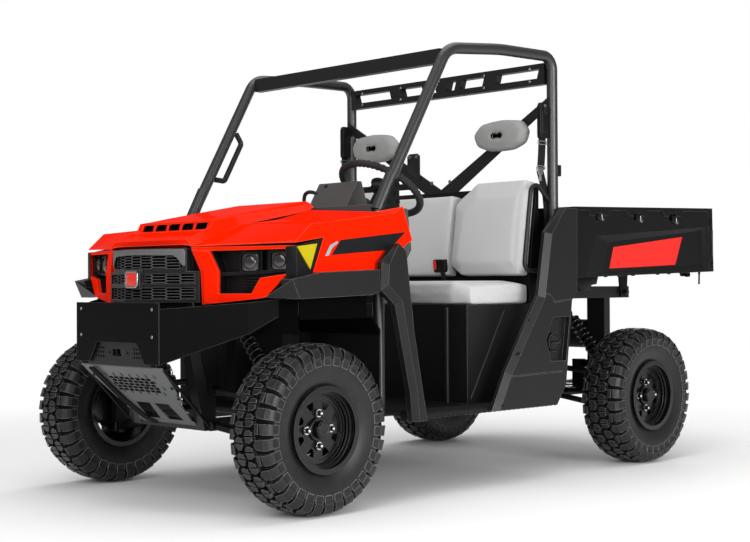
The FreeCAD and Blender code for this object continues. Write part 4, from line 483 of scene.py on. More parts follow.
def spun(profile: Outline, steps: int, axis: Vector, across: Vector, closed: bool = True) -> Mesh:
    """Spins a profile round an axis through the origin.

    Args:
        profile: Points, each as (place along the axis, radius).
        steps: How many sides the turn has.
        axis: The axis of the turn.
        across: A direction square to the axis, where the profile is drawn.
        closed: Whether the profile's last point joins its first.

    Returns:
        The turned shell.
    """
    mesh = bmesh.new()
    verts = [mesh.verts.new(axis * along + across * radius) for along, radius in profile]
    pairs = list(zip(verts, verts[1:])) + ([(verts[-1], verts[0])] if closed else [])
    edges = [mesh.edges.new(pair) for pair in pairs]
    bmesh.ops.spin(
        mesh, geom=verts + edges, cent=ORIGIN, axis=axis, angle=math.tau, steps=steps, use_merge=True,
    )
    bmesh.ops.remove_doubles(mesh, verts=mesh.verts, dist=1e-6)
    bmesh.ops.recalc_face_normals(mesh, faces=mesh.faces)
    return mesh


def at(x: float, y: float, z: float) -> Vector:
    """Returns a point that is given in millimetres from the ground under the front axle's middle."""
    return Vector((x, y, z)) * MILLIMETRE + Vector((0, FRONT_AXLE_Y, 0))


def bevelled(mesh: Mesh, width_mm: float, segments: int = 2, degrees: float = 30, clamp: bool = True) -> Mesh:
    """Rounds the edges of a mesh that are sharper than an angle."""
    bmesh.ops.bevel(
        mesh, geom=sharp_edges(mesh, degrees), offset=width_mm * MILLIMETRE, segments=segments, profile=0.5,
        affect="EDGES", clamp_overlap=clamp, material=-1,
    )
    return mesh


def thickened(mesh: Mesh, faces: list, thick_mm: float) -> Mesh:
    """Extrudes flat faces along +Z into a closed plate."""
    raised = bmesh.ops.extrude_face_region(mesh, geom=faces)["geom"]
    top = [item for item in raised if isinstance(item, bmesh.types.BMVert)]
    bmesh.ops.translate(mesh, vec=(0, 0, thick_mm * MILLIMETRE), verts=top)
    bmesh.ops.recalc_face_normals(mesh, faces=mesh.faces)
    return mesh


def plate(outline: Outline, thick_mm: float, edge_mm: float = 0) -> Mesh:
    """Extrudes a flat outline from z 0.

    Args:
        outline: Corners in millimetres.
        thick_mm: How far it reaches along +Z.
        edge_mm: Radius of its rounded edges, if any.

    Returns:
        The closed plate.
    """
    mesh = bmesh.new()
    face = mesh.faces.new([mesh.verts.new((x * MILLIMETRE, y * MILLIMETRE, 0)) for x, y in outline])
    thickened(mesh, [face], thick_mm)
    return bevelled(mesh, edge_mm) if edge_mm else mesh


def rectangle(width: float, height: float, x: float = 0.0, y: float = 0.0) -> list[tuple[float, float]]:
    """Returns a rectangle's corners round a middle."""
    return [(x - width / 2, y - height / 2), (x + width / 2, y - height / 2),
            (x + width / 2, y + height / 2), (x - width / 2, y + height / 2)]


def ring_plate(outer: Outline, inner: Outline, thick_mm: float) -> Mesh:
    """Makes a flat frame between two outlines that have as many corners each."""
    mesh = bmesh.new()
    loops = []
    for outline in (outer, inner):
        verts = [mesh.verts.new((x * MILLIMETRE, y * MILLIMETRE, 0)) for x, y in outline]
        loops.extend(mesh.edges.new(pair) for pair in zip(verts, verts[1:] + verts[:1]))
    return thickened(mesh, bmesh.ops.bridge_loops(mesh, edges=loops)["faces"], thick_mm)


def placed(mesh: Mesh, matrix: Matrix) -> Mesh:
    """Moves a whole mesh, and keeps its faces outward."""
    bmesh.ops.transform(mesh, matrix=matrix, verts=mesh.verts)
    if matrix.determinant() < 0:
        bmesh.ops.reverse_faces(mesh, faces=mesh.faces)
    return mesh


def facing(place: Vector, outward: Sequence[float], up: Sequence[float] = UP) -> Matrix:
    """Returns the placement whose Z looks outward and whose Y looks up.

    Args:
        place: Where its origin goes.
        outward: The direction of its Z.
        up: A direction near its Y.

    Returns:
        The placement. On a front face its X is the vehicle's left, and on the left side its X is the rear.
    """
    out = Vector(outward).normalized()
    right = Vector(up).cross(out).normalized()
    return Matrix.Translation(place) @ Matrix((right, out.cross(right), out)).transposed().to_4x4()


def together(meshes: Iterable[Mesh]) -> Mesh:
    """Joins meshes into one, and frees them."""
    whole = bmesh.new()
    for mesh in meshes:
        data = stored(mesh, "shell")
        whole.from_mesh(data)
        bpy.data.meshes.remove(data)
    return whole


def both_sides(*meshes: Mesh) -> Mesh:
    """Joins meshes, and adds their mirror image across the vehicle's middle plane."""
    mesh = together(meshes)
    return together([mesh, placed(mesh.copy(), Matrix.Scale(-1, 4, LEFT))])


def path(*places: Point) -> list[Vector]:
    """Returns points that are given in millimetres as for at()."""
    return [at(*place) for place in places]


def swept(route: Sequence[Vector], radius_mm: float, ring: bool = False, straight: bool = False) -> Mesh:
    """Sweeps a round bar along a route.

    Args:
        route: The control points, in metres.
        radius_mm: The bar's radius.
        ring: Whether the route closes on itself.
        straight: Whether the bar runs straight between the points.

    Returns:
        The bar, with closed ends.
    """
    curve = bpy.data.curves.new("route", "CURVE")
    curve.dimensions = "3D"
    curve.bevel_depth = radius_mm * MILLIMETRE
    curve.bevel_resolution = 3
    curve.resolution_u = 6
    curve.use_fill_caps = not ring
    line = curve.splines.new("POLY" if straight else "NURBS")
    line.points.add(len(route) - 1)
    for point, place in zip(line.points, route):
        point.co = (*place, 1.0)
    line.use_cyclic_u = ring
    if not straight:
        line.order_u = 3
        line.use_endpoint_u = not ring
    holder = bpy.data.objects.new("route", curve)
    data = bpy.data.meshes.new_from_object(holder)
    mesh = bmesh.new()
    mesh.from_mesh(data)
    bpy.data.objects.remove(holder)
    bpy.data.curves.remove(curve)
    bpy.data.meshes.remove(data)
    bmesh.ops.remove_doubles(mesh, verts=mesh.verts, dist=1e-6)
    bmesh.ops.recalc_face_normals(mesh, faces=mesh.faces)
    return mesh


def strap(route: Sequence[Vector], across: Sequence[float], width_mm: float, thick_mm: float) -> Mesh:
    """Lays a flat strap along a route.

    Args:
        route: Points along its middle, in metres.
        across: The direction of its width.
        width_mm: Its width.
        thick_mm: Its thickness.

    Returns:
        The closed strap.
    """
    mesh = bmesh.new()
    half = Vector(across).normalized() * width_mm * MILLIMETRE / 2
    edge = mesh.edges.new([mesh.verts.new(route[0] - half), mesh.verts.new(route[0] + half)])
    for start, end in zip(route, route[1:]):
        grown = bmesh.ops.extrude_edge_only(mesh, edges=[edge])["geom"]
        ends = [item for item in grown if isinstance(item, bmesh.types.BMVert)]
        bmesh.ops.translate(mesh, vec=end - start, verts=ends)
        edge = next(e for e in ends[0].link_edges if e.other_vert(ends[0]) is ends[1])
    bmesh.ops.recalc_face_normals(mesh, faces=mesh.faces)
    bmesh.ops.solidify(mesh, geom=mesh.faces[:], thickness=thick_mm * MILLIMETRE)
    bmesh.ops.recalc_face_normals(mesh, faces=mesh.faces)
    return mesh


def add_section(mesh: Mesh, corners: int, bar_mm: float, reach_mm: float) -> None:
    """Adds a round bar's section across XZ, at a distance along X from the axis that it will be spun round."""
    ring = bmesh.ops.create_circle(mesh, segments=corners, radius=bar_mm * MILLIMETRE)["verts"]
    bmesh.ops.rotate(mesh, cent=ORIGIN, matrix=Matrix.Rotation(math.pi / 2, 3, "X"), verts=ring)
    bmesh.ops.translate(mesh, vec=(reach_mm * MILLIMETRE, 0, 0), verts=ring)


def coil(radius_mm: float, wire_mm: float, height_mm: float, turns: float, steps: int = 22) -> Mesh:
    """Winds a spring round Z, from z 0 up."""
    mesh = bmesh.new()
    add_section(mesh, 8, wire_mm, radius_mm)
    count = round(steps * turns)
    bmesh.ops.spin(
        mesh, geom=mesh.verts[:] + mesh.edges[:], cent=ORIGIN, axis=UP, steps=count,
        dvec=(0, 0, height_mm * MILLIMETRE / count), angle=math.tau * turns,
    )
    bmesh.ops.holes_fill(mesh, edges=[e for e in mesh.edges if e.is_boundary])
    bmesh.ops.recalc_face_normals(mesh, faces=mesh.faces)
    return mesh


def turned(profile_mm: Outline, steps: int = 24) -> Mesh:
    """Turns a profile of (height, radius) in millimetres round Z. It is closed where it ends on the axis."""
    metres = [(h * MILLIMETRE, r * MILLIMETRE) for h, r in profile_mm]
    return spun(metres, steps, Vector(UP), Vector(LEFT), closed=False)


class Head(Enum):
    """The kinds of fastener head on the vehicle."""

    BUTTON = "button"
    HEX = "hex"
    ACORN = "acorn"


def fastener(head: Head, radius_mm: float) -> Mesh:
    """Makes a fastener's head on z 0, with a washer where it has one.

    Args:
        head: The kind of head.
        radius_mm: The head's radius. The rest is in proportion to it.

    Returns:
        The head.
    """
    r = radius_mm
    if head is Head.BUTTON:
        return turned([(-0.3, 0), (-0.3, r), (0.15 * r, r), (0.42 * r, 0.8 * r), (0.55 * r, 0.48 * r),
                       (0.3 * r, 0.42 * r), (0.3 * r, 0)], 16)
    nut = turned([(-0.3, 0), (-0.3, r), (0.7 * r, r), (0.85 * r, 0.86 * r), (0.85 * r, 0)], 6)
    washer = turned([(-0.3, 0), (-0.3, 1.35 * r), (0.14 * r, 1.35 * r), (0.14 * r, 0)], 20)
    if head is Head.HEX:
        return together([nut, washer])
    dome = turned([(0.8 * r, 0), (0.8 * r, 0.8 * r), (1.25 * r, 0.74 * r), (1.6 * r, 0.5 * r), (1.75 * r, 0)], 16)
    return together([nut, washer, dome])


def fasteners(
    name: str, head: Head, radius_mm: float, spots: Iterable[tuple[Vector, Sequence[float]]], finish: Finish,
    body: str = "chassis", mirrored: bool = False,
) -> bpy.types.Object:
    """Sets a row of fasteners as one piece.

    Args:
        name: The piece's name.
        head: Their kind.
        radius_mm: The head's radius.
        spots: Each one's place and the direction that it faces.
        finish: Their finish.
        body: The body that carries them.
        mirrored: Whether the vehicle's other side has them too.

    Returns:
        The new object.
    """
    mesh = together(placed(fastener(head, radius_mm), facing(place, out, (0.1, 0.2, 1))) for place, out in spots)
    return piece(name, both_sides(mesh) if mirrored else mesh, finish, body, 40)


# Wheels


def between(points: Points, place: float, beyond: float) -> float:
    """Reads a line of (place, value) points at a place.

    Args:
        points: The line. Its first stretch that reaches the place counts.
        place: Where the value is wanted.
        beyond: The value past the whole line.

    Returns:
        The value.
    """
    for (start, low), (end, high) in zip(points, points[1:]):
        if place <= end:
            return low + (high - low) * (place - start) / (end - start)
    return beyond


@dataclass
class MudTyre:
    """A mud tyre: a spun carcass that carries staggered tread blocks and shoulder lugs."""

    node: str
    body: str
    centre: Vector
    outward: float
    pitches: int = 34
    carcass_steps: int = 96
    lug_depth: float = 0.0185
    edge_mm: float = 1.4
    # How much smaller a block is at its top than at its foot, along the carcass and round the tyre.
    taper: tuple[float, float] = (0.95, 0.93)
    # A block's foot in its flat drawing, where its top is 1, and how deep one unit is under the carcass.
    foot: float = -0.35
    foot_depth: float = 0.004
    # Places along the carcass where the blocks bend with it.
    bends: tuple[float, ...] = (0.090, 0.104, 0.118, 0.124, 0.136)
    # Below this radius the carcass is sidewall. Above it, what lies within the margin is a groove's floor.
    groove_radius: float = 0.262
    groove_margin: float = 0.002
    # The carcass at the bottom of the grooves, from the middle of the tread
    # to the bead, each point as (distance from the middle plane, radius).
    profile: Points = (
        (0.0, 0.3095), (0.030, 0.3092), (0.055, 0.3078), (0.078, 0.3040), (0.092, 0.2975),
        (0.1015, 0.2860), (0.1050, 0.2700), (0.1058, 0.2500), (0.1040, 0.2250), (0.0990, 0.2010),
        (0.0930, 0.1830), (0.0890, 0.1735), (0.0870, 0.1690), (0.0800, 0.1650), (0.0800, 0.1545),
    )
    # Block outlines in one pitch, as (share of the pitch round the tyre,
    # distance from the middle along the carcass in metres).
    centre_blocks: tuple[Points, ...] = (
        ((0.05, 0.012), (0.42, 0.004), (0.46, 0.046), (0.22, 0.050), (0.02, 0.034)),
        ((0.49, 0.003), (0.80, 0.010), (0.88, 0.030), (0.74, 0.047), (0.52, 0.047)),
    )
    long_lug: Points = (
        (0.10, 0.066), (0.42, 0.052), (0.80, 0.062), (0.83, 0.096), (0.83, 0.150), (0.07, 0.150), (0.07, 0.096),
    )
    short_lug_inner: Points = (
        (0.10, 0.058), (0.80, 0.056), (0.80, 0.0735), (0.10, 0.0745),
    )
    short_lug: Points = (
        (0.10, 0.0775), (0.80, 0.0765), (0.83, 0.098), (0.83, 0.150), (0.07, 0.150), (0.07, 0.098),
    )
    # Height of a lug's top over the carcass, by distance along the carcass.
    heights: Points = (
        (0.0, 1.0), (0.060, 0.98), (0.090, 0.86), (0.104, 0.62), (0.118, 0.38), (0.124, 0.16), (0.160, 0.09),
    )

    def on_carcass(self, along: float) -> tuple[Vector, Vector]:
        """Finds a place on the carcass.

        Args:
            along: Distance from the middle of the tread, along the carcass. Negative is inboard.

        Returns:
            The point and the outward normal, each as (distance from the middle plane, radius).
        """
        side = math.copysign(1.0, along)
        left = abs(along)
        for (x0, r0), (x1, r1) in zip(self.profile, self.profile[1:]):
            run = math.hypot(x1 - x0, r1 - r0)
            if left <= run:
                break
            left -= run
        share = left / run
        normal = Vector((side * (r0 - r1), x1 - x0)).normalized()
        return Vector((side * (x0 + share * (x1 - x0)), r0 + share * (r1 - r0))), normal

    def floor_radius(self, reach: float) -> float:
        """Returns the radius just over the grooves' floor at a distance from the middle plane."""
        return between(self.profile, reach, self.groove_radius) + self.groove_margin

    def height(self, along: float) -> float:
        """Returns a lug's height over the carcass at a distance along it."""
        return self.lug_depth * between(self.heights, abs(along), self.heights[-1][1])

    def add_block(self, mesh: Mesh, outline: Outline, side: float, shift: float) -> None:
        """Adds one block, drawn flat: x is along the carcass, y round the tyre, z the share of its height."""
        base = mesh.faces.new([mesh.verts.new((side * along, share + shift, self.foot)) for share, along in outline])
        raised = bmesh.ops.extrude_face_region(mesh, geom=[base])["geom"]
        top = [item for item in raised if isinstance(item, bmesh.types.BMVert)]
        middle = sum((v.co for v in top), Vector()) / len(top)
        for vert in top:
            vert.co.x = middle.x + (vert.co.x - middle.x) * self.taper[0]
            vert.co.y = middle.y + (vert.co.y - middle.y) * self.taper[1]
            vert.co.z = 1

    def tread(self) -> Mesh:
        """Returns all blocks of the tread, bent onto the carcass."""
        blocks = bmesh.new()
        for side, shift in ((1, 0), (-1, 0.5)):
            for step in range(2):
                for outline in self.centre_blocks:
                    self.add_block(blocks, outline, side, step + shift)
            self.add_block(blocks, self.long_lug, side, 0.5 + shift)
            for outline in (self.short_lug, self.short_lug_inner):
                self.add_block(blocks, outline, side, 1.5 + shift)
        bmesh.ops.recalc_face_normals(blocks, faces=blocks.faces)
        for bend in self.bends:
            cut(blocks, bend)
        for vert in blocks.verts:
            point, normal = self.on_carcass(vert.co.x)
            rise = vert.co.z * (self.height(vert.co.x) if vert.co.z > 0 else self.foot_depth)
            point = point + normal * rise
            turn = vert.co.y * math.tau / self.pitches
            vert.co = (point.x, point.y * math.sin(turn), point.y * math.cos(turn))
        bevelled(blocks, self.edge_mm, segments=1, clamp=False)
        turns = self.pitches // 2
        bmesh.ops.spin(
            blocks, geom=everything(blocks), cent=ORIGIN, axis=(-1, 0, 0), angle=math.tau * (turns - 1) / turns,
            steps=turns - 1, use_duplicate=True,
        )
        return blocks

    def build(self) -> None:
        """Builds the tyre and replaces its CAD node."""
        half = list(self.profile)
        section = [(-x, r) for x, r in reversed(half)] + half[1:]
        carcass = spun(section, self.carcass_steps, Vector(LEFT), Vector(UP))
        place = Matrix.Translation(self.centre) @ Matrix.Scale(self.outward, 4, LEFT)
        tyre = together([self.tread(), carcass])
        bmesh.ops.transform(tyre, matrix=place, verts=tyre.verts)
        bmesh.ops.recalc_face_normals(tyre, faces=tyre.faces)
        made = piece(self.node.replace("tyre", "mud_tyre"), tyre, TYRE_RUBBER, self.body, 28)
        # The grooves' floors take the darker rubber, as painted shade.
        made.data.materials.append(GROOVE_SHADE_RUBBER.material())
        for face in made.data.polygons:
            middle = face.center - self.centre
            radius = math.hypot(middle.y, middle.z)
            face.material_index = int(self.groove_radius < radius < self.floor_radius(abs(middle.x)))
        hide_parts(self.node)


@dataclass
class WheelFittings:
    """What a wheel carries in its middle: chrome nuts, the hub's flange and its cap."""

    position: str
    centre: Vector
    outward: float
    disc_mm: float = 48
    nut_circle_mm: float = 62
    nut_radius_mm: float = 11.6
    nut_seat_mm: float = 7
    # One arm of the hub's cross. The other three are turned from it.
    arm: Points = ((78, -7.8), (78, 7.8), (72, 16.25), (13, 13))
    arm_root: tuple[float, float] = (72, -16.25)

    def build(self) -> None:
        """Builds the fittings on the outer face of the wheel's disc."""
        out = facing(self.centre, (self.outward, 0, 0))
        body = f"wheel_{self.position}"
        quarters = [Matrix.Rotation(turn * math.pi / 2, 4, "Z") for turn in range(4)]
        seat = Vector((self.nut_circle_mm, 0, self.disc_mm + self.nut_seat_mm)) * MILLIMETRE
        nuts = [placed(fastener(Head.ACORN, self.nut_radius_mm), Matrix.Translation(q @ seat)) for q in quarters]
        piece(f"wheel_nuts_{self.position}", placed(together(nuts), out), CHROME, body, 40)
        cross = [(q @ Vector((*corner, 0))).xy for q in quarters for corner in (self.arm_root, *self.arm)]
        flange = placed(plate(cross, 7, 1.5), Matrix.Translation((0, 0, self.disc_mm * MILLIMETRE)))
        ring = turned([(48, 0), (48, 47), (57, 47), (60, 44), (60, 37), (54, 34), (54, 0)], 40)
        cap = turned([(54, 0), (54, 31), (84, 29.5), (87, 27), (87, 21), (84.5, 19.5), (84.5, 0)], 36)
        piece(f"wheel_hub_{self.position}", placed(together([flange, ring, cap]), out), WHEEL_PAINT, body, 32)


@dataclass
class ShockPair:
    """Coil-over shock absorbers of one axle, which stand for their CAD node."""

    axle: str
    axle_y: float
    # The lower and the upper eye, each as (x, z), and where the spring sits between them.
    foot: tuple[float, float] = (478, 461.3)
    top: tuple[float, float] = (257, 722)
    spring_share: tuple[float, float] = (0.2, 0.86)
    coil_mm: float = 28.5
    wire_mm: float = 5.5
    seat_mm: float = 6
    turns: float = 7.2

    def build(self) -> None:
        """Builds dampers and springs on both sides."""
        foot, top = (at(x, self.axle_y, z) for x, z in (self.foot, self.top))
        length = (top - foot).length / MILLIMETRE
        low, high = (share * length for share in self.spring_share)
        stand = facing(foot, top - foot, BEHIND)
        damper = turned([
            (8, 0), (8, 13), (low - 12, 13), (low - 12, 34), (low - 3, 35), (low, 33), (low, 22), (0.52 * length, 22),
            (0.55 * length, 19), (0.55 * length, 8), (high, 8), (high, 33), (high + 4, 35), (high + 9, 33),
            (high + 12, 14), (length - 8, 12), (length - 8, 0),
        ], 28)
        eye = [(-17, 0), (-17, 9), (-16, 14), (-13, 16), (13, 16), (16, 14), (17, 9), (17, 0)]
        eyes = [placed(turned(eye), facing(place, BEHIND)) for place in (foot, top)]
        dampers = piece(
            f"{self.axle}_dampers", both_sides(placed(damper, stand), *eyes), BLACK_STEEL, smooth=40,
        )
        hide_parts(f"{self.axle}_shocks")
        rise = Matrix.Translation((0, 0, (low + self.seat_mm) * MILLIMETRE))
        wound = coil(self.coil_mm, self.wire_mm, high - low - 2 * self.seat_mm, self.turns)
        piece(f"{self.axle}_springs", both_sides(placed(wound, stand @ rise)), SPRING_COAT, smooth=60)


@dataclass
class Cushion:
    """A foam pad in moulded vinyl, which a cloth simulation swells from its CAD solid."""

    node: str
    finish: Finish
    voxel_mm: float = 6
    shrink_mm: float = 2
    # No point of the skin moves further than this when it swells.
    cap_mm: float = 3.5
    pressure: float = 4
    skin_kg: float = 0.4
    stiffness: float = 8
    frames: int = 20
    # Rounds of smoothing before and after the simulation.
    rounding: int = 3
    relax: int = 7

    @staticmethod
    def settle(pad: bpy.types.Object) -> None:
        """Applies the pad's modifiers to its mesh."""
        graph = bpy.context.evaluated_depsgraph_get()
        fixed = bpy.data.meshes.new_from_object(pad.evaluated_get(graph), depsgraph=graph)
        pad.modifiers.clear()
        old, pad.data = pad.data, fixed
        bpy.data.meshes.remove(old)

    @staticmethod
    def smoothed(data: bpy.types.Mesh, rounds: int, inward: float = 0) -> None:
        """Smooths a mesh some times over, and then draws its surface inward by a distance."""
        mesh = bmesh.new()
        mesh.from_mesh(data)
        for _ in range(rounds):
            bmesh.ops.smooth_vert(
                mesh, verts=mesh.verts, factor=0.5, use_axis_x=True, use_axis_y=True, use_axis_z=True,
            )
        mesh.normal_update()
        for vert in mesh.verts:
            vert.co -= vert.normal * inward
        mesh.to_mesh(data)
        mesh.free()

    def foam(self) -> bpy.types.Object:
        """Returns the foam core: the CAD solid, remeshed evenly and made a little smaller."""
        mesh = bmesh.new()
        mesh.from_mesh(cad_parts[self.node].data)
        bmesh.ops.remove_doubles(mesh, verts=mesh.verts, dist=1e-5)
        bmesh.ops.recalc_face_normals(mesh, faces=mesh.faces)
        pad = shown(stored(mesh, f"{self.node}_pad"))
        remesh = pad.modifiers.new("foam", "REMESH")
        remesh.mode = "VOXEL"
        remesh.voxel_size = self.voxel_mm * MILLIMETRE
        self.settle(pad)
        self.smoothed(pad.data, self.rounding, self.shrink_mm * MILLIMETRE)
        return pad

    def swell(self, pad: bpy.types.Object) -> None:
        """Inflates the skin against the foam, and caps how far any point moves."""
        start = [v.co.copy() for v in pad.data.vertices]
        cloth = pad.modifiers.new("skin", "CLOTH")
        skin = {
            "quality": 4, "mass": self.skin_kg, "bending_stiffness": self.stiffness, "use_pressure": True,
            "uniform_pressure_force": self.pressure,
        }
        for name, value in skin.items():
            setattr(cloth.settings, name, value)
        cloth.settings.effector_weights.gravity = 0
        cloth.collision_settings.use_collision = False
        for frame in range(1, self.frames + 1):
            bpy.context.scene.frame_set(frame)
        self.settle(pad)
        bpy.context.scene.frame_set(1)
        cap = self.cap_mm * MILLIMETRE
        for vert, before in zip(pad.data.vertices, start):
            move = vert.co - before
            if move.length > cap:
                vert.co = before + move * (cap / move.length)
        self.smoothed(pad.data, self.relax)
        pad.modifiers.new("soft", "SUBSURF").levels = 1
        self.settle(pad)

    def build(self) -> None:
        """Builds the pad and replaces its CAD node."""
        pad = self.foam()
        self.swell(pad)
        for face in pad.data.polygons:
            face.use_smooth = True
        pad.data.materials.clear()
        pad.data.materials.append(self.finish.material())
        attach(pad, "chassis")
        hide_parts(self.node)
        LOG.info("pad %s has %d faces", self.node, len(pad.data.polygons))


@dataclass
class Grille:
    """The mesh in the grille's tiers, its bright arch and its badge.

    The grille is flat in its middle, and its sides sweep back by sweep_mm from flat_mm to half_mm.
    """

    front_mm: float = -335
    flat_mm: float = 70
    half_mm: float = 305
    sweep_mm: float = 90
    # How far the net and the dark sheet behind it, which is painted shade, lie from the front.
    net_back_mm: float = 11
    sheet_back_mm: float = 24.5
    # Tiers, each as (lowest z, highest z, half width).
    tiers: Route = ((822, 870, 292), (885, 925, 292), (945, 1004, 237))
    cell: tuple[float, float] = (62, 11.5)
    wire_mm: float = 1.2
    arch: Points = (
        (0, 1000), (-196, 997), (-214, 986), (-238, 956), (-247, 956), (-247, 1012), (-243, 1021), (0, 1022.5),
    )

    def bowed(self, mesh: Mesh, proud_mm: float) -> Mesh:
        """Bends a mesh that is drawn flat in X and Y, with its front along +Z, onto the grille's bow."""
        cut(mesh, self.flat_mm * MILLIMETRE)
        slope = self.sweep_mm / (self.half_mm - self.flat_mm)
        for vert in mesh.verts:
            back = slope * max(0.0, abs(vert.co.x) / MILLIMETRE - self.flat_mm)
            depth = self.front_mm - proud_mm + back - vert.co.z / MILLIMETRE
            vert.co = at(vert.co.x / MILLIMETRE, depth, vert.co.y / MILLIMETRE)
        bmesh.ops.recalc_face_normals(mesh, faces=mesh.faces)
        return mesh

    def tier_mesh(self, low: float, high: float, half: float) -> Mesh:
        """Returns the net of long six-sided cells that fills one tier."""
        pitch, tall = self.cell
        long, short, up = pitch / 2 + tall / 4, pitch / 2 - tall / 4, tall / 2
        cell = [(long, 0), (short, up), (-short, up), (-long, 0), (-short, -up), (short, -up)]
        # A wire is slimmer where it runs upright, as the slanted ends look.
        hole = [(x * (1 - 1.6 * self.wire_mm / long), y * (1 - self.wire_mm / up)) for x, y in cell]
        rings = []
        columns = int((half + 4) / pitch - 0.5)
        for column in range(-columns, columns + 1):
            for row in range(math.ceil((high - low) / tall)):
                x, y = column * pitch, low + (row + 0.5 * (column % 2)) * tall
                outer, inner = ([(x + a, y + b) for a, b in outline] for outline in (cell, hole))
                rings.append(ring_plate(outer, inner, 4))
        return together(rings)

    def build(self) -> None:
        """Builds the net, the arch and the badge."""
        nets = [self.bowed(self.tier_mesh(*tier), -self.net_back_mm) for tier in self.tiers]
        piece("grille_net", together(nets), CHARCOAL_PLASTIC, smooth=30)
        # The sheets behind the net are near-black, as painted shade in the tiers.
        backs = [plate(rectangle(2 * half, high - low, 0, (low + high) / 2), 1.5) for low, high, half in self.tiers]
        backs = [self.bowed(back, -self.sheet_back_mm) for back in backs]
        piece("grille_backs", together(backs), SHADE_BLACK, smooth=30)
        outline = list(self.arch) + [(-x, z) for x, z in reversed(self.arch) if x]
        piece("grille_arch", self.bowed(plate(outline[::-1], 5, 1.2), 0), SILVER_PAINT, smooth=30)
        badge = facing(at(0, -347, 903), AHEAD)
        corners = [(-44, -25), (-34, -35), (34, -35), (44, -25), (44, 25), (34, 35), (-34, 35), (-44, 25)]
        inner, face = ([(x * wide, y * tall) for x, y in corners] for wide, tall in ((0.8, 0.78), (0.84, 0.82)))
        piece("badge_frame", placed(bevelled(ring_plate(corners, inner, 7), 1.5), badge), SATIN_CHROME, smooth=30)
        piece("badge_face", placed(plate(face, 4, 0.8), badge), BADGE_ENAMEL, smooth=30)


@dataclass
class Headlamps:
    """Bezels, reflectors, projector lenses and vents of the lamps, on both sides."""

    # The swept panel's start and direction, each as (x, y). Places on it are given as (along it, z).
    origin: tuple[float, float] = (300, -247.5)
    along: tuple[float, float] = (0.9363, 0.3512)
    lens_places: Points = ((219, 966), (350, 971))
    lens_depth: float = 33
    half_width: float = 41
    half_height: float = 38
    vent_rows: int = 5
    vent_pitch: float = 11

    def on_panel(self, u: float, z: float, depth: float) -> Matrix:
        """Returns a placement on the swept panel, which looks out of it."""
        (ox, oy), (ax, ay) = self.origin, self.along
        return facing(at(ox + u * ax - depth * ay, oy + u * ay + depth * ax, z), (ay, -ax, 0))

    def rounded(self, grow: float, corner: float = 15) -> list[tuple[float, float]]:
        """Returns the lens's outline with its corners cut, grown by a distance."""
        w, h, c, d = self.half_width + grow, self.half_height + grow, corner, corner * 0.3
        return [(w, -h + c), (w, h - c), (w - d, h - d), (w - c, h), (c - w, h), (d - w, h - d),
                (-w, h - c), (-w, c - h), (d - w, d - h), (c - w, -h), (w - c, -h), (w - d, d - h)]

    def build(self) -> None:
        """Builds the lamps."""
        bezels, bowls, lenses = [], [], []
        for u, z in self.lens_places:
            front = self.on_panel(u, z, self.lens_depth)
            bezels.append(placed(bevelled(ring_plate(self.rounded(2), self.rounded(-2.5, 13), 12), 1.2), front))
            bowls.append(placed(plate(self.rounded(-2.7, 13), 2.5), front))
            lenses.append(placed(plate(self.rounded(-4, 14), 7, 3), front))
            lenses.append(placed(turned([(6, 0), (6, 28), (9, 27), (12, 21), (13.5, 12), (14.3, 0)], 40), front))
        piece("lamp_bezels", both_sides(*bezels), BLACK_GLOSS)
        piece("lamp_bowls", both_sides(*bowls), LAMP_REFLECTOR, smooth=50)
        piece("lamp_lenses", both_sides(*lenses), LAMP_PROJECTOR, smooth=50)
        end = plate([(391, 905), (438, 905), (438, 1028), (391, 1024)], 2, 0.8)
        piece("lamp_ends", both_sides(placed(end, self.on_panel(0, 0, -0.6))), BLACK_PLASTIC)
        # A near-black plate 40 mm behind the nose below the lamps, as painted shade.
        shade_plate = plate([(-40, 690), (420, 690), (420, 822), (-40, 822)], 3)
        piece("nose_shade_plates", both_sides(placed(shade_plate, self.on_panel(0, 0, 40))), SHADE_BLACK)
        rows = [self.on_panel(205, 862 + self.vent_pitch * row, 60) for row in range(self.vent_rows)]
        slats = [placed(plate(rectangle(74, 4), 7, 0.8), row) for row in rows]
        piece("lamp_vents", both_sides(*slats), BLACK_GLOSS)


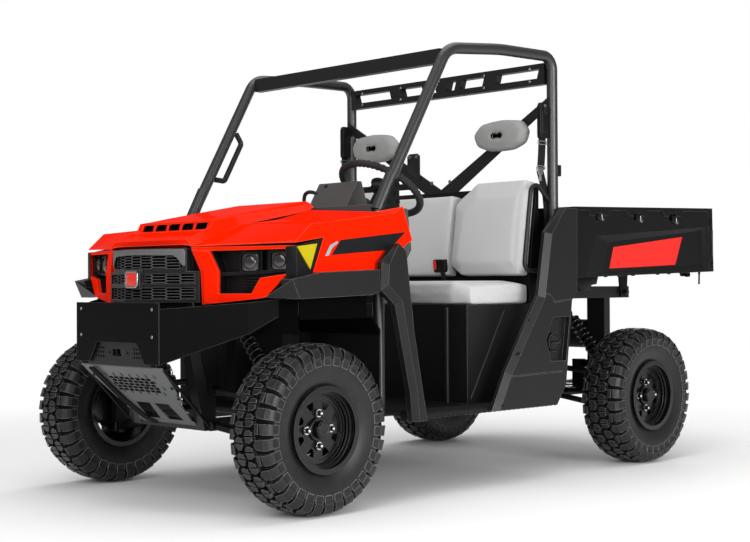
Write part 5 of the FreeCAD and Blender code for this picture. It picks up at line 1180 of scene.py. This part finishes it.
@dataclass
class FrontTrim:
    """Bolts, tow hooks, painted shade behind the scoop and in the skid plate's slots, and the skid plate's rails."""

    bumper_face: float = -424
    bumper_bolts: Points = ((-252, 786), (242, 786), (-252, 680), (242, 680))
    # The skid plate's face runs down and back from this (y, z), by slope in Y for each mm in Z.
    skid_start: tuple[float, float] = (-358.3, 508)
    skid_slope: float = 0.9755
    skid_out: Point = (0, -0.71, -0.7)
    slot_rows: int = 5
    slot_columns: int = 8
    # The first slot's x, the steps along a row and from row to row, and the shift of every other row.
    slot_x: float = -134
    slot_pitch: tuple[float, float] = (37, 12.5)
    slot_stagger: float = 9
    rail: Route = (
        (-205, -413, 547), (-200, -327, 466), (-186, -268, 407), (-150, -213, 352), (-138, -191, 330), (-96, -177, 315),
    )
    skid_bolts: Route = (
        (-246, -366, 514), (240, -330, 478), (240, -300, 448), (222, -285, 433), (240, -268, 416),
    )
    hook: Route = (
        (214, -352, 538), (228, -352, 540), (246, -352, 556), (262, -352, 556), (270, -352, 544), (266, -352, 534),
    )

    def slots(self) -> Mesh:
        """Returns near-black floors in the skid plate's slots, as painted shade, which are staggered from row to row.
        """
        start_y, start_z = self.skid_start
        pitch, fall = self.slot_pitch
        floors = []
        for row in range(self.slot_rows):
            for column in range(self.slot_columns):
                x, down = self.slot_x + pitch * column + self.slot_stagger * (row % 2), fall * row
                place = facing(at(x, start_y + self.skid_slope * down, start_z - down), self.skid_out)
                floors.append(placed(plate(rectangle(25, 10), 1.6), place))
        return together(floors)

    def build(self) -> None:
        """Builds the trim."""
        spots = [(at(x, self.bumper_face, z), AHEAD) for x, z in self.bumper_bolts]
        fasteners("bumper_bolts", Head.BUTTON, 7, spots, ZINC)
        piece("skid_slot_shade", self.slots(), SHADE_BLACK)
        # A near-black sheet behind the scoop's openings, as painted shade.
        shade_sheet = placed(plate(rectangle(456, 44, 0, 1114), 3), facing(at(0, -121, 0), AHEAD))
        piece("scoop_shade_sheet", shade_sheet, SHADE_BLACK, "hood")
        rails = [swept(path(*((x + side, y, z) for x, y, z in self.rail)), 6) for side in (0, 22)]
        piece("skid_rails", together(rails), BLACK_STEEL, smooth=50)
        hook = swept(path(*self.hook), 5)
        piece("tow_hooks", both_sides(hook), CHROME, smooth=50)
        edge = swept(path((276, -398, 556), (276, -175, 322)), 6, straight=True)
        piece("skid_edges", both_sides(edge), BLACK_STEEL, smooth=50)
        holes = [(at(*place), self.skid_out) for place in self.skid_bolts]
        fasteners("skid_bolts", Head.BUTTON, 7, holes, BLACK_STEEL)


@dataclass
class BodyDecals:
    """Plain vinyl shapes on the fenders and the bed. They carry no words."""

    film_mm: float = 0.5
    fender_x: float = 704
    bed_x: float = 693

    def film(self, name: str, corners: Outline, side_x: float, finish: Finish, body: str) -> None:
        """Lays a film on both sides.

        Args:
            name: The piece's name.
            corners: Corners as (y, z) in the vehicle's millimetres.
            side_x: The side face's distance from the middle.
            finish: Its finish.
            body: The body that carries it.
        """
        flat = placed(plate(corners, self.film_mm), facing(at(side_x, 0, 0), LEFT))
        piece(name, both_sides(flat), finish, body)

    def build(self) -> None:
        """Lays every film."""
        field = [(90, 993), (138, 1052), (501, 1091), (403, 1016)]
        self.film("fender_decals", field, self.fender_x, DARK_FILM, "chassis")
        slash = [(56, 989), (74, 990), (94, 1022), (124, 1040), (120, 1047), (82, 1030)]
        self.film("fender_slashes", slash, self.fender_x, PALE_FILM, "chassis")
        panel = [(1912, 947), (1946, 1050), (2542, 1111), (2476, 968)]
        self.film("bed_decals", panel, self.bed_x, RED_FILM, "cargo_bed")


@dataclass
class SeatBelts:
    """Retractors, webbing, guide loops, tongues and buckles of both seats."""

    across: Point = (0.08, 1, 0)
    outward: Point = (1, -0.08, 0)
    web_mm: tuple[float, float] = (47, 1.8)
    # The webbing's runs over and under its lower loop, as (x, y, z).
    runs: tuple[Route, ...] = (
        ((660, 1447, 1550), (660, 1446, 1520), (659, 1444, 1470), (657, 1441, 1420), (654, 1437, 1396)),
        ((652, 1440, 1392), (651, 1462, 1340), (652, 1484, 1270), (655, 1492, 1180), (655, 1492, 1060)),
    )

    def retractor(self) -> Mesh:
        """Returns the retractor's cover, its rib and its foot on the post."""
        up = facing(at(660, 1449, 1622), self.outward)
        cover = plate([(-24, -80), (24, -80), (26, -60), (26, 66), (17, 84), (-17, 84), (-26, 66), (-26, -60)], 24, 5)
        rib = plate(rectangle(30, 96, 0, -6), 4, 1.5)
        return together([
            placed(cover, up @ Matrix.Translation((0, 0, -0.012))),
            placed(rib, up @ Matrix.Translation((0, 0, 0.0115))),
            placed(plate(rectangle(30, 26), 44, 4), facing(at(664, 1494, 1668), AHEAD)),
        ])

    def loops(self) -> Mesh:
        """Returns the two guide loops and the tongue between them."""
        parts = []
        for z, half, high in ((1522, 29, 8), (1408, 27, 9)):
            frame = facing(at(661 - (1522 - z) * 0.03, 1446 - (1522 - z) * 0.06, z), self.outward)
            corners = ((-half, -high), (half, -high), (half, high), (-half, high))
            parts.append(swept([frame @ (Vector((x, y, 0)) * MILLIMETRE) for x, y in corners], 3.2, ring=True))
        tongue = plate([(-22, 12), (22, 12), (20, -8), (9, -26), (9, -52), (-9, -52), (-9, -26), (-20, -8)], 3, 0.8)
        parts.append(placed(tongue, facing(at(655, 1436, 1398), self.outward)))
        return together(parts)

    def add_buckle(self, side: str, sign: float, x: float) -> None:
        """Adds a buckle on its stalk, with its button at the side next to its seat.

        Args:
            side: The vehicle's side that the buckle is named after.
            sign: 1 on the left, -1 on the right.
            x: The buckle's place across the seats.
        """
        place = facing(at(x, 1288, 964), (0.15 * sign, -0.97, -0.1))
        shell = plate([(-29, -32), (29, -32), (33, -18), (33, 30), (-33, 30), (-33, -18)], 30, 5)
        shell = placed(shell, place @ Matrix.Translation((0, 0, -0.015)))
        stalk = swept(path((x, 1296, 945), (x, 1312, 912), (x - 2 * sign, 1330, 870)), 11)
        piece(f"belt_buckle_{side}", together([shell, stalk]), BLACK_PLASTIC)
        button = plate(rectangle(16, 42, -22 * sign, 4), 6, 1.5)
        piece(f"belt_button_{side}", placed(button, place @ Matrix.Translation((0, 0, 0.0125))), BUTTON_RED)

    def build(self) -> None:
        """Builds the belts of both sides."""
        piece("belt_retractors", both_sides(self.retractor()), BLACK_PLASTIC)
        fasteners("belt_bolts", Head.HEX, 8, [(at(671, 1452, 1690), self.outward)], ZINC, mirrored=True)
        webbing = [strap(path(*run), self.across, *self.web_mm) for run in self.runs]
        piece("belt_webbing", both_sides(*webbing), BELT_WEBBING, smooth=40)
        piece("belt_loops", both_sides(self.loops()), SATIN_CHROME, smooth=45)
        self.add_buckle("left", 1, 168)
        self.add_buckle("right", -1, -196)


@dataclass
class CageTrim:
    """Bolts and the tab on the roll cage's rear."""

    header_back: float = 1481

    def build(self) -> None:
        """Builds the trim."""
        tab = plate([(-40, -84), (46, -138), (46, -10), (30, 2), (-24, 2), (-40, -10)], 6, 1.5)
        piece("brace_tab", placed(tab, facing(at(-186, 1477, 1530), AHEAD)), POWDER_COAT)
        places = ((-208, 1471, 1516), (-160, 1471, 1516), (-60, 1476, 1378), (60, 1476, 1378), (380, 1476, 1526),
                  (-380, 1476, 1526))
        fasteners("brace_bolts", Head.HEX, 7, [(at(*place), AHEAD) for place in places], ZINC)
        header = [(at(x, self.header_back, z), AHEAD) for x in (-560, -280, 280, 560) for z in (1816, 1874)]
        fasteners("header_bolts", Head.BUTTON, 7, header, ZINC)


@dataclass
class CabTrim:
    """The ribbed grip, the dash's grab bar, the pillars' feet and small fittings round the driver."""

    wheel_centre: Point = (395, 668, 1290)
    tilt_degrees: float = 34
    radius_mm: float = 182
    grip_mm: float = 14.2
    ribs: int = 52
    # Each rib takes up this many steps of the turn, and half of them stand out by this factor.
    rib_steps: int = 4
    rib_growth: float = 1.16
    bar: Route = (
        (84, 500, 1222), (88, 494, 1262), (112, 490, 1282), (150, 490, 1282), (206, 492, 1262), (232, 500, 1226),
    )
    # The driver's pillar foot and its bolts, as (y, z).
    foot: Points = ((494, 1312), (512, 1305), (514, 1176), (412, 1176), (428, 1214))
    foot_bolts: Points = ((502, 1286), (490, 1250), (452, 1216), (502, 1216))

    def grip(self) -> Mesh:
        """Returns the steering wheel's rim with raised ribs round it."""
        mesh = bmesh.new()
        add_section(mesh, 14, self.grip_mm, self.radius_mm)
        steps = self.ribs * self.rib_steps
        bmesh.ops.spin(
            mesh, geom=mesh.verts[:] + mesh.edges[:], cent=ORIGIN, axis=UP, steps=steps, angle=math.tau, use_merge=True,
        )
        bmesh.ops.remove_doubles(mesh, verts=mesh.verts, dist=1e-5)
        for vert in mesh.verts:
            flat = Vector((vert.co.x, vert.co.y, 0))
            middle = flat.normalized() * self.radius_mm * MILLIMETRE
            step = round(math.atan2(flat.y, flat.x) / math.tau * steps)
            if step % self.rib_steps < self.rib_steps / 2:
                vert.co = middle + (vert.co - middle) * self.rib_growth
        bmesh.ops.recalc_face_normals(mesh, faces=mesh.faces)
        return mesh

    def build(self) -> None:
        """Builds the fittings."""
        tilt = Matrix.Rotation(math.radians(-self.tilt_degrees), 4, "X")
        wheel = Matrix.Translation(at(*self.wheel_centre)) @ tilt
        piece("wheel_grip", placed(self.grip(), wheel), GRIP_RUBBER, "steering", 50)
        boss = turned([(10, 0), (10, 52), (18, 54), (24, 50), (28, 38), (29, 0)], 40)
        piece("wheel_boss", placed(boss, wheel), BLACK_PLASTIC, "steering")
        piece("dash_grab_bar", swept(path(*self.bar), 8.5), GRIP_RUBBER, smooth=50)
        knob = turned([(0, 0), (0, 9), (14, 9), (16, 15), (26, 15), (29, 11), (30, 0)], 20)
        piece("dash_knob", placed(knob, facing(at(222, 520, 1282), (0, -0.3, 1), BEHIND)), BLACK_PLASTIC)
        piece("pillar_foot", placed(plate(self.foot, 10, 2), facing(at(649, 0, 0), LEFT)), BLACK_PLASTIC)
        sleeve = swept(path((630.6, 492, 1326), (628, 412, 1179)), 27, straight=True)
        piece("pillar_sleeves", both_sides(sleeve), CAGE_COAT, smooth=50)
        fasteners("pillar_bolts", Head.HEX, 8, [(at(659, y, z), LEFT) for y, z in self.foot_bolts], BLACK_STEEL)
        latch = placed(plate(rectangle(26, 52), 26, 3), facing(at(672, 1530, 1398), BEHIND))
        piece("post_brackets", both_sides(latch), BLACK_PLASTIC)


@dataclass
class SideTrim:
    """Ribs, treads, screws and the fuel cap's grip on the vehicle's flanks."""

    cap_centre: Point = (745, 1420, 612)
    cap_teeth: int = 16
    treads: int = 26
    tread_pitch: float = 32.5
    screws: Points = ((1229, 716), (1157, 572), (1046, 350))

    def build(self) -> None:
        """Builds the trim."""
        rib = swept(path((488, 982, 332), (488, 982, 772)), 10, straight=True)
        edge = swept(path((604, 1233, 755), (604, 1006, 374)), 5, straight=True)
        piece("seat_base_ribs", both_sides(rib, edge), CHARCOAL_PLASTIC, smooth=50)
        places = [facing(at(682, 655 + self.tread_pitch * k, 322), UP, LEFT) for k in range(self.treads)]
        treads = [placed(plate(rectangle(9, 60), 2.5, 1), place) for place in places]
        piece("sill_treads", both_sides(*treads), CHARCOAL_PLASTIC)
        cap = facing(at(*self.cap_centre), LEFT)
        turns = [Matrix.Rotation(k * math.tau / self.cap_teeth, 4, "Z") for k in range(self.cap_teeth)]
        grips = [placed(plate(rectangle(7, 7, 0, 37), 5, 1), cap @ turn) for turn in turns]
        piece("fuel_cap_grip", together([*grips, placed(plate(rectangle(60, 15), 6, 2), cap)]), BLACK_GLOSS)
        spots = [(at(752, y, z), LEFT) for y, z in self.screws]
        fasteners("panel_screws", Head.BUTTON, 6.5, spots, BLACK_STEEL, mirrored=True)


@dataclass
class TailTrim:
    """The tailgate's pressed frame, ribs, handle, lamps and catches."""

    back_y: float = 2842.5
    back_slope: float = 0.026
    # The gate's frame as (x, z), its middle height, and how much smaller its inner edge is.
    frame: Points = (
        (-600, 950), (600, 950), (630, 985), (630, 1190), (600, 1225), (-600, 1225), (-630, 1190), (-630, 985),
    )
    middle_z: float = 1087
    frame_share: tuple[float, float] = (0.965, 0.88)

    def build(self) -> None:
        """Builds the tailgate's trim."""
        face, rear = (facing(at(x, self.back_y, 0), (0, 1, self.back_slope)) for x in (0, 664))
        edge = facing(at(702, 2804, 0), LEFT)
        wide, tall = self.frame_share
        inner = [(x * wide, self.middle_z + (z - self.middle_z) * tall) for x, z in self.frame]
        ribs = [plate(rectangle(14, 236, x, self.middle_z), 7, 2) for x in (-400, -200, 200, 400)]
        pressed = together([bevelled(ring_plate(self.frame, inner, 9), 3), *ribs])
        piece("tailgate_ribs", placed(pressed, face), BED_PLASTIC, "tailgate")
        cup = bevelled(ring_plate(rectangle(190, 84, 0, 1180), rectangle(160, 58, 0, 1180), 11), 3)
        lever = plate(rectangle(120, 22, 0, 1186), 9, 3)
        piece("tailgate_handle", placed(together([cup, lever]), face), BLACK_GLOSS, "tailgate")
        lamps = [placed(bevelled(plate(rectangle(46, 124, 0, 1081), 8), 3), rear),
                 placed(plate(rectangle(14, 140, 0, 1081), 6, 2), edge)]
        piece("tail_lamps", both_sides(*lamps), TAIL_LENS, "tailgate")
        catches = [placed(bevelled(plate(rectangle(44, 30, 0, 1192), 10), 3), rear),
                   placed(plate(rectangle(18, 36, -12, 1190), 7, 2), edge),
                   placed(plate(rectangle(18, 18, 0, 978), 7, 3), edge)]
        piece("bed_catches", both_sides(*catches), BLACK_STEEL, "tailgate")


@dataclass
class BedTrim:
    """Tie-down hooks on the cargo bed's sides, and the hangers, bolts and pin under it."""

    hooks: tuple[float, ...] = (1822, 2140, 2454)
    hook: Route = (
        (12, 10, 6), (14, -4, 8), (12, -18, 8.5), (22, -24, 9), (28, -14, 9),
    )
    # The hanger's outline as (y, z).
    hanger: Points = ((1760, 911), (1946, 916), (1930, 872), (1890, 868), (1872, 842), (1800, 840), (1776, 866))
    bolt_places: tuple[float, ...] = (2010, 2120, 2240, 2457, 2559, 2723)
    # The bed's underside rises to the rear by this slope.
    underside_z: float = 913.4
    underside_slope: float = 0.0262

    def build(self) -> None:
        """Builds the trim on both sides of the bed."""
        hangers = placed(plate(self.hanger, 14, 3), facing(at(592, 0, 0), LEFT))
        piece("bed_hangers", both_sides(hangers), BLACK_STEEL, "cargo_bed")
        heights = [self.underside_z + self.underside_slope * (y - self.bolt_places[0]) for y in self.bolt_places]
        under = [(at(600, y, z), DOWN) for y, z in zip(self.bolt_places, heights)]
        fasteners("bed_underside_bolts", Head.HEX, 9, under, BLACK_STEEL, "cargo_bed", mirrored=True)
        pin = swept(path((698, 2690, 919), (698, 2688, 868)), 4.5, straight=True)
        eye = placed(turned([(-2, 4), (-2, 9), (2, 9), (2, 4)], 20), facing(at(698, 2690, 926), LEFT))
        piece("bed_pin", together([pin, eye]), BLACK_STEEL, "cargo_bed")
        plates, tips = [], []
        for y in self.hooks:
            side = facing(at(700, y, 1198), LEFT)
            plates.append(placed(plate([(-24, -16), (10, -26), (26, -8), (26, 16), (-24, 16)], 9, 2), side))
            tips.append(swept([side @ (Vector(point) * MILLIMETRE) for point in self.hook], 3.4))
        piece("bed_hook_plates", both_sides(*plates), BLACK_GLOSS, "cargo_bed")
        piece("bed_hooks", both_sides(*tips), ZINC, "cargo_bed", 50)


def make_wheels() -> None:
    """Builds the tyres and fittings of the four wheels."""
    for along, y in (("front", FRONT_AXLE_Y), ("rear", FRONT_AXLE_Y + WHEELBASE)):
        for side, sign in (("left", 1), ("right", -1)):
            corner = f"{along}_{side}"
            centre = Vector((sign * HALF_TRACK, y, AXLE_HEIGHT))
            MudTyre(f"tyre_{corner}", f"wheel_{corner}", centre, sign).build()
            WheelFittings(corner, centre, sign).build()


def make_seats() -> None:
    """Builds the padded seats and headrests, and the headrests' dimples."""
    for node in SEATS:
        Cushion(node, SEAT_VINYL).build()
    Cushion("headrests", HEADREST_FOAM, voxel_mm=5, shrink_mm=0, rounding=28).build()
    # The dimples and the slot between them are near-black, as painted shade in the holes.
    dimple = [(-12, 0), (-12, 12.5), (1.5, 12.5), (2.5, 11.5), (1, 10), (-9, 9.5), (-9, 0)]
    left, middle, right = (facing(at(x, 1405, 1571), AHEAD) for x in (400, 420, 440))
    holes = [placed(turned(dimple, 28), left), placed(turned(dimple, 28), right)]
    holes.append(placed(plate(rectangle(16, 10), 2), middle))
    piece("headrest_holes", both_sides(*holes), SHADE_BLACK)


# Studio


@dataclass(frozen=True)
class Studio:
    """The pale floor, the soft lamps and the camera at the photograph's view."""

    camera_place: Point = (4.611, -3.519 + FRONT_AXLE_Y, 0.884)
    azimuth_degrees: float = 45.469
    elevation_degrees: float = -0.497
    roll_degrees: float = -0.31
    lens_mm: float = 66.07
    sensor_mm: float = 36.0
    floor_size: float = 60
    # The floor fades into the white from this far to this far from the object's middle.
    fade_start: float = 2.2
    fade_end: float = 4.5
    # The room's light on matt surfaces, and how bright it looks in gloss.
    room_light: float = 0.55
    room_gloss: float = 0.32
    lamp_target: Point = (0, 0, 0.8)
    # Each lamp's name, place, size in metres and power in watts.
    lamps: tuple[tuple[str, Point, float, float], ...] = (
        ("key", (2.5, -6.0, 4.2), 4.5, 150.0),
        ("front", (5.6, -5.0, 1.9), 2.4, 60.0),
        ("side", (6.4, -0.8, 1.9), 2.8, 190.0),
        ("top", (0.0, 0.3, 6.0), 6.0, 140.0),
        ("back", (-3.0, 6.5, 3.0), 4.0, 130.0),
    )

    def add_camera(self) -> None:
        """Sets up the camera that stands where the photograph's stood."""
        azimuth, elevation, roll = map(math.radians, (self.azimuth_degrees, self.elevation_degrees, self.roll_degrees))
        turns = ((azimuth, "Z"), (math.pi / 2 - elevation, "X"), (roll, "Z"))
        lens = bpy.data.cameras.new("camera")
        lens.lens = self.lens_mm
        lens.sensor_width = self.sensor_mm
        camera = shown(lens)
        camera.matrix_world = Matrix.Translation(self.camera_place)
        for angle, axis in turns:
            camera.matrix_world @= Matrix.Rotation(angle, 4, axis)
        bpy.context.scene.camera = camera

    def add_lamps(self) -> None:
        """Hangs the soft lamps round the object."""
        for name, place, size, watts in self.lamps:
            lamp = bpy.data.lights.new(name, "AREA")
            lamp.shape = "DISK"
            lamp.size = size
            lamp.energy = watts
            hung = shown(lamp)
            aim = Vector(self.lamp_target) - Vector(place)
            hung.matrix_world = Matrix.Translation(place) @ aim.to_track_quat("-Z", "Y").to_matrix().to_4x4()

    def add_floor(self) -> None:
        """Lays the pale floor, which fades into the white background."""
        mesh = bmesh.new()
        bmesh.ops.create_grid(mesh, x_segments=1, y_segments=1, size=self.floor_size / 2)
        floor = shown(stored(mesh, "floor"))
        finish = bpy.data.materials.new("studio_floor")
        finish.use_nodes = True
        tree = finish.node_tree
        tree.nodes.clear()
        place = add_node(tree, "ShaderNodeTexCoord").outputs["Object"]
        reach = add_node(tree, "ShaderNodeVectorMath", {0: place}, operation="LENGTH").outputs["Value"]
        far = add_node(tree, "ShaderNodeMapRange", {
            "Value": reach, "From Min": self.fade_start, "From Max": self.fade_end,
        }, interpolation_type="SMOOTHSTEP").outputs["Result"]
        near = add_node(tree, "ShaderNodeBsdfDiffuse", {"Color": linear("#F6F6F6")}).outputs["BSDF"]
        white = add_node(tree, "ShaderNodeEmission", {"Strength": 1}).outputs["Emission"]
        rays = add_node(tree, "ShaderNodeLightPath").outputs
        share = add_node(tree, "ShaderNodeMath", {0: rays["Is Camera Ray"], 1: far}, operation="MULTIPLY").outputs[0]
        mixed = add_node(tree, "ShaderNodeMixShader", {"Fac": share, 1: near, 2: white}).outputs["Shader"]
        add_node(tree, "ShaderNodeOutputMaterial", {"Surface": mixed})
        floor.data.materials.append(finish)

    def light_world(self) -> None:
        """Fills the room with soft light, seen as white by the camera and dimmer in gloss."""
        world = bpy.data.worlds.new("studio")
        world.use_nodes = True
        bpy.context.scene.world = world
        tree = world.node_tree
        tree.nodes.clear()
        rays = add_node(tree, "ShaderNodeLightPath").outputs
        straight = add_node(tree, "ShaderNodeMath", {
            0: rays["Is Camera Ray"], 1: rays["Is Transmission Ray"],
        }, operation="MAXIMUM").outputs[0]
        dim = add_node(tree, "ShaderNodeMapRange", {
            "Value": rays["Is Glossy Ray"], "To Min": self.room_light, "To Max": self.room_gloss,
        }).outputs["Result"]
        soft = add_node(tree, "ShaderNodeBackground", {"Color": linear("#F5F5F5"), "Strength": dim})
        white = add_node(tree, "ShaderNodeBackground", {"Color": (1, 1, 1, 1), "Strength": 1.0})
        mixed = add_node(tree, "ShaderNodeMixShader", {
            "Fac": straight, 1: soft.outputs["Background"], 2: white.outputs["Background"],
        })
        add_node(tree, "ShaderNodeOutputWorld", {"Surface": mixed.outputs["Shader"]})

    def build(self) -> None:
        """Sets up the whole studio."""
        self.add_camera()
        self.add_lamps()
        self.add_floor()
        self.light_world()
        bpy.context.scene.view_settings.view_transform = "Standard"


def main() -> None:
    """Dresses the frame and sets up the studio."""
    logging.basicConfig(level=logging.INFO)
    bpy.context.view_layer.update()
    Studio().build()
    dress_nodes()
    make_wheels()
    for axle, axle_y in (("front", 0), ("rear", WHEELBASE / MILLIMETRE)):
        ShockPair(axle, axle_y).build()
    make_seats()
    for trim in (Grille, Headlamps, FrontTrim, BodyDecals, SeatBelts, CageTrim, CabTrim, SideTrim, TailTrim, BedTrim):
        trim().build()


if __name__ == "__main__":
    main()
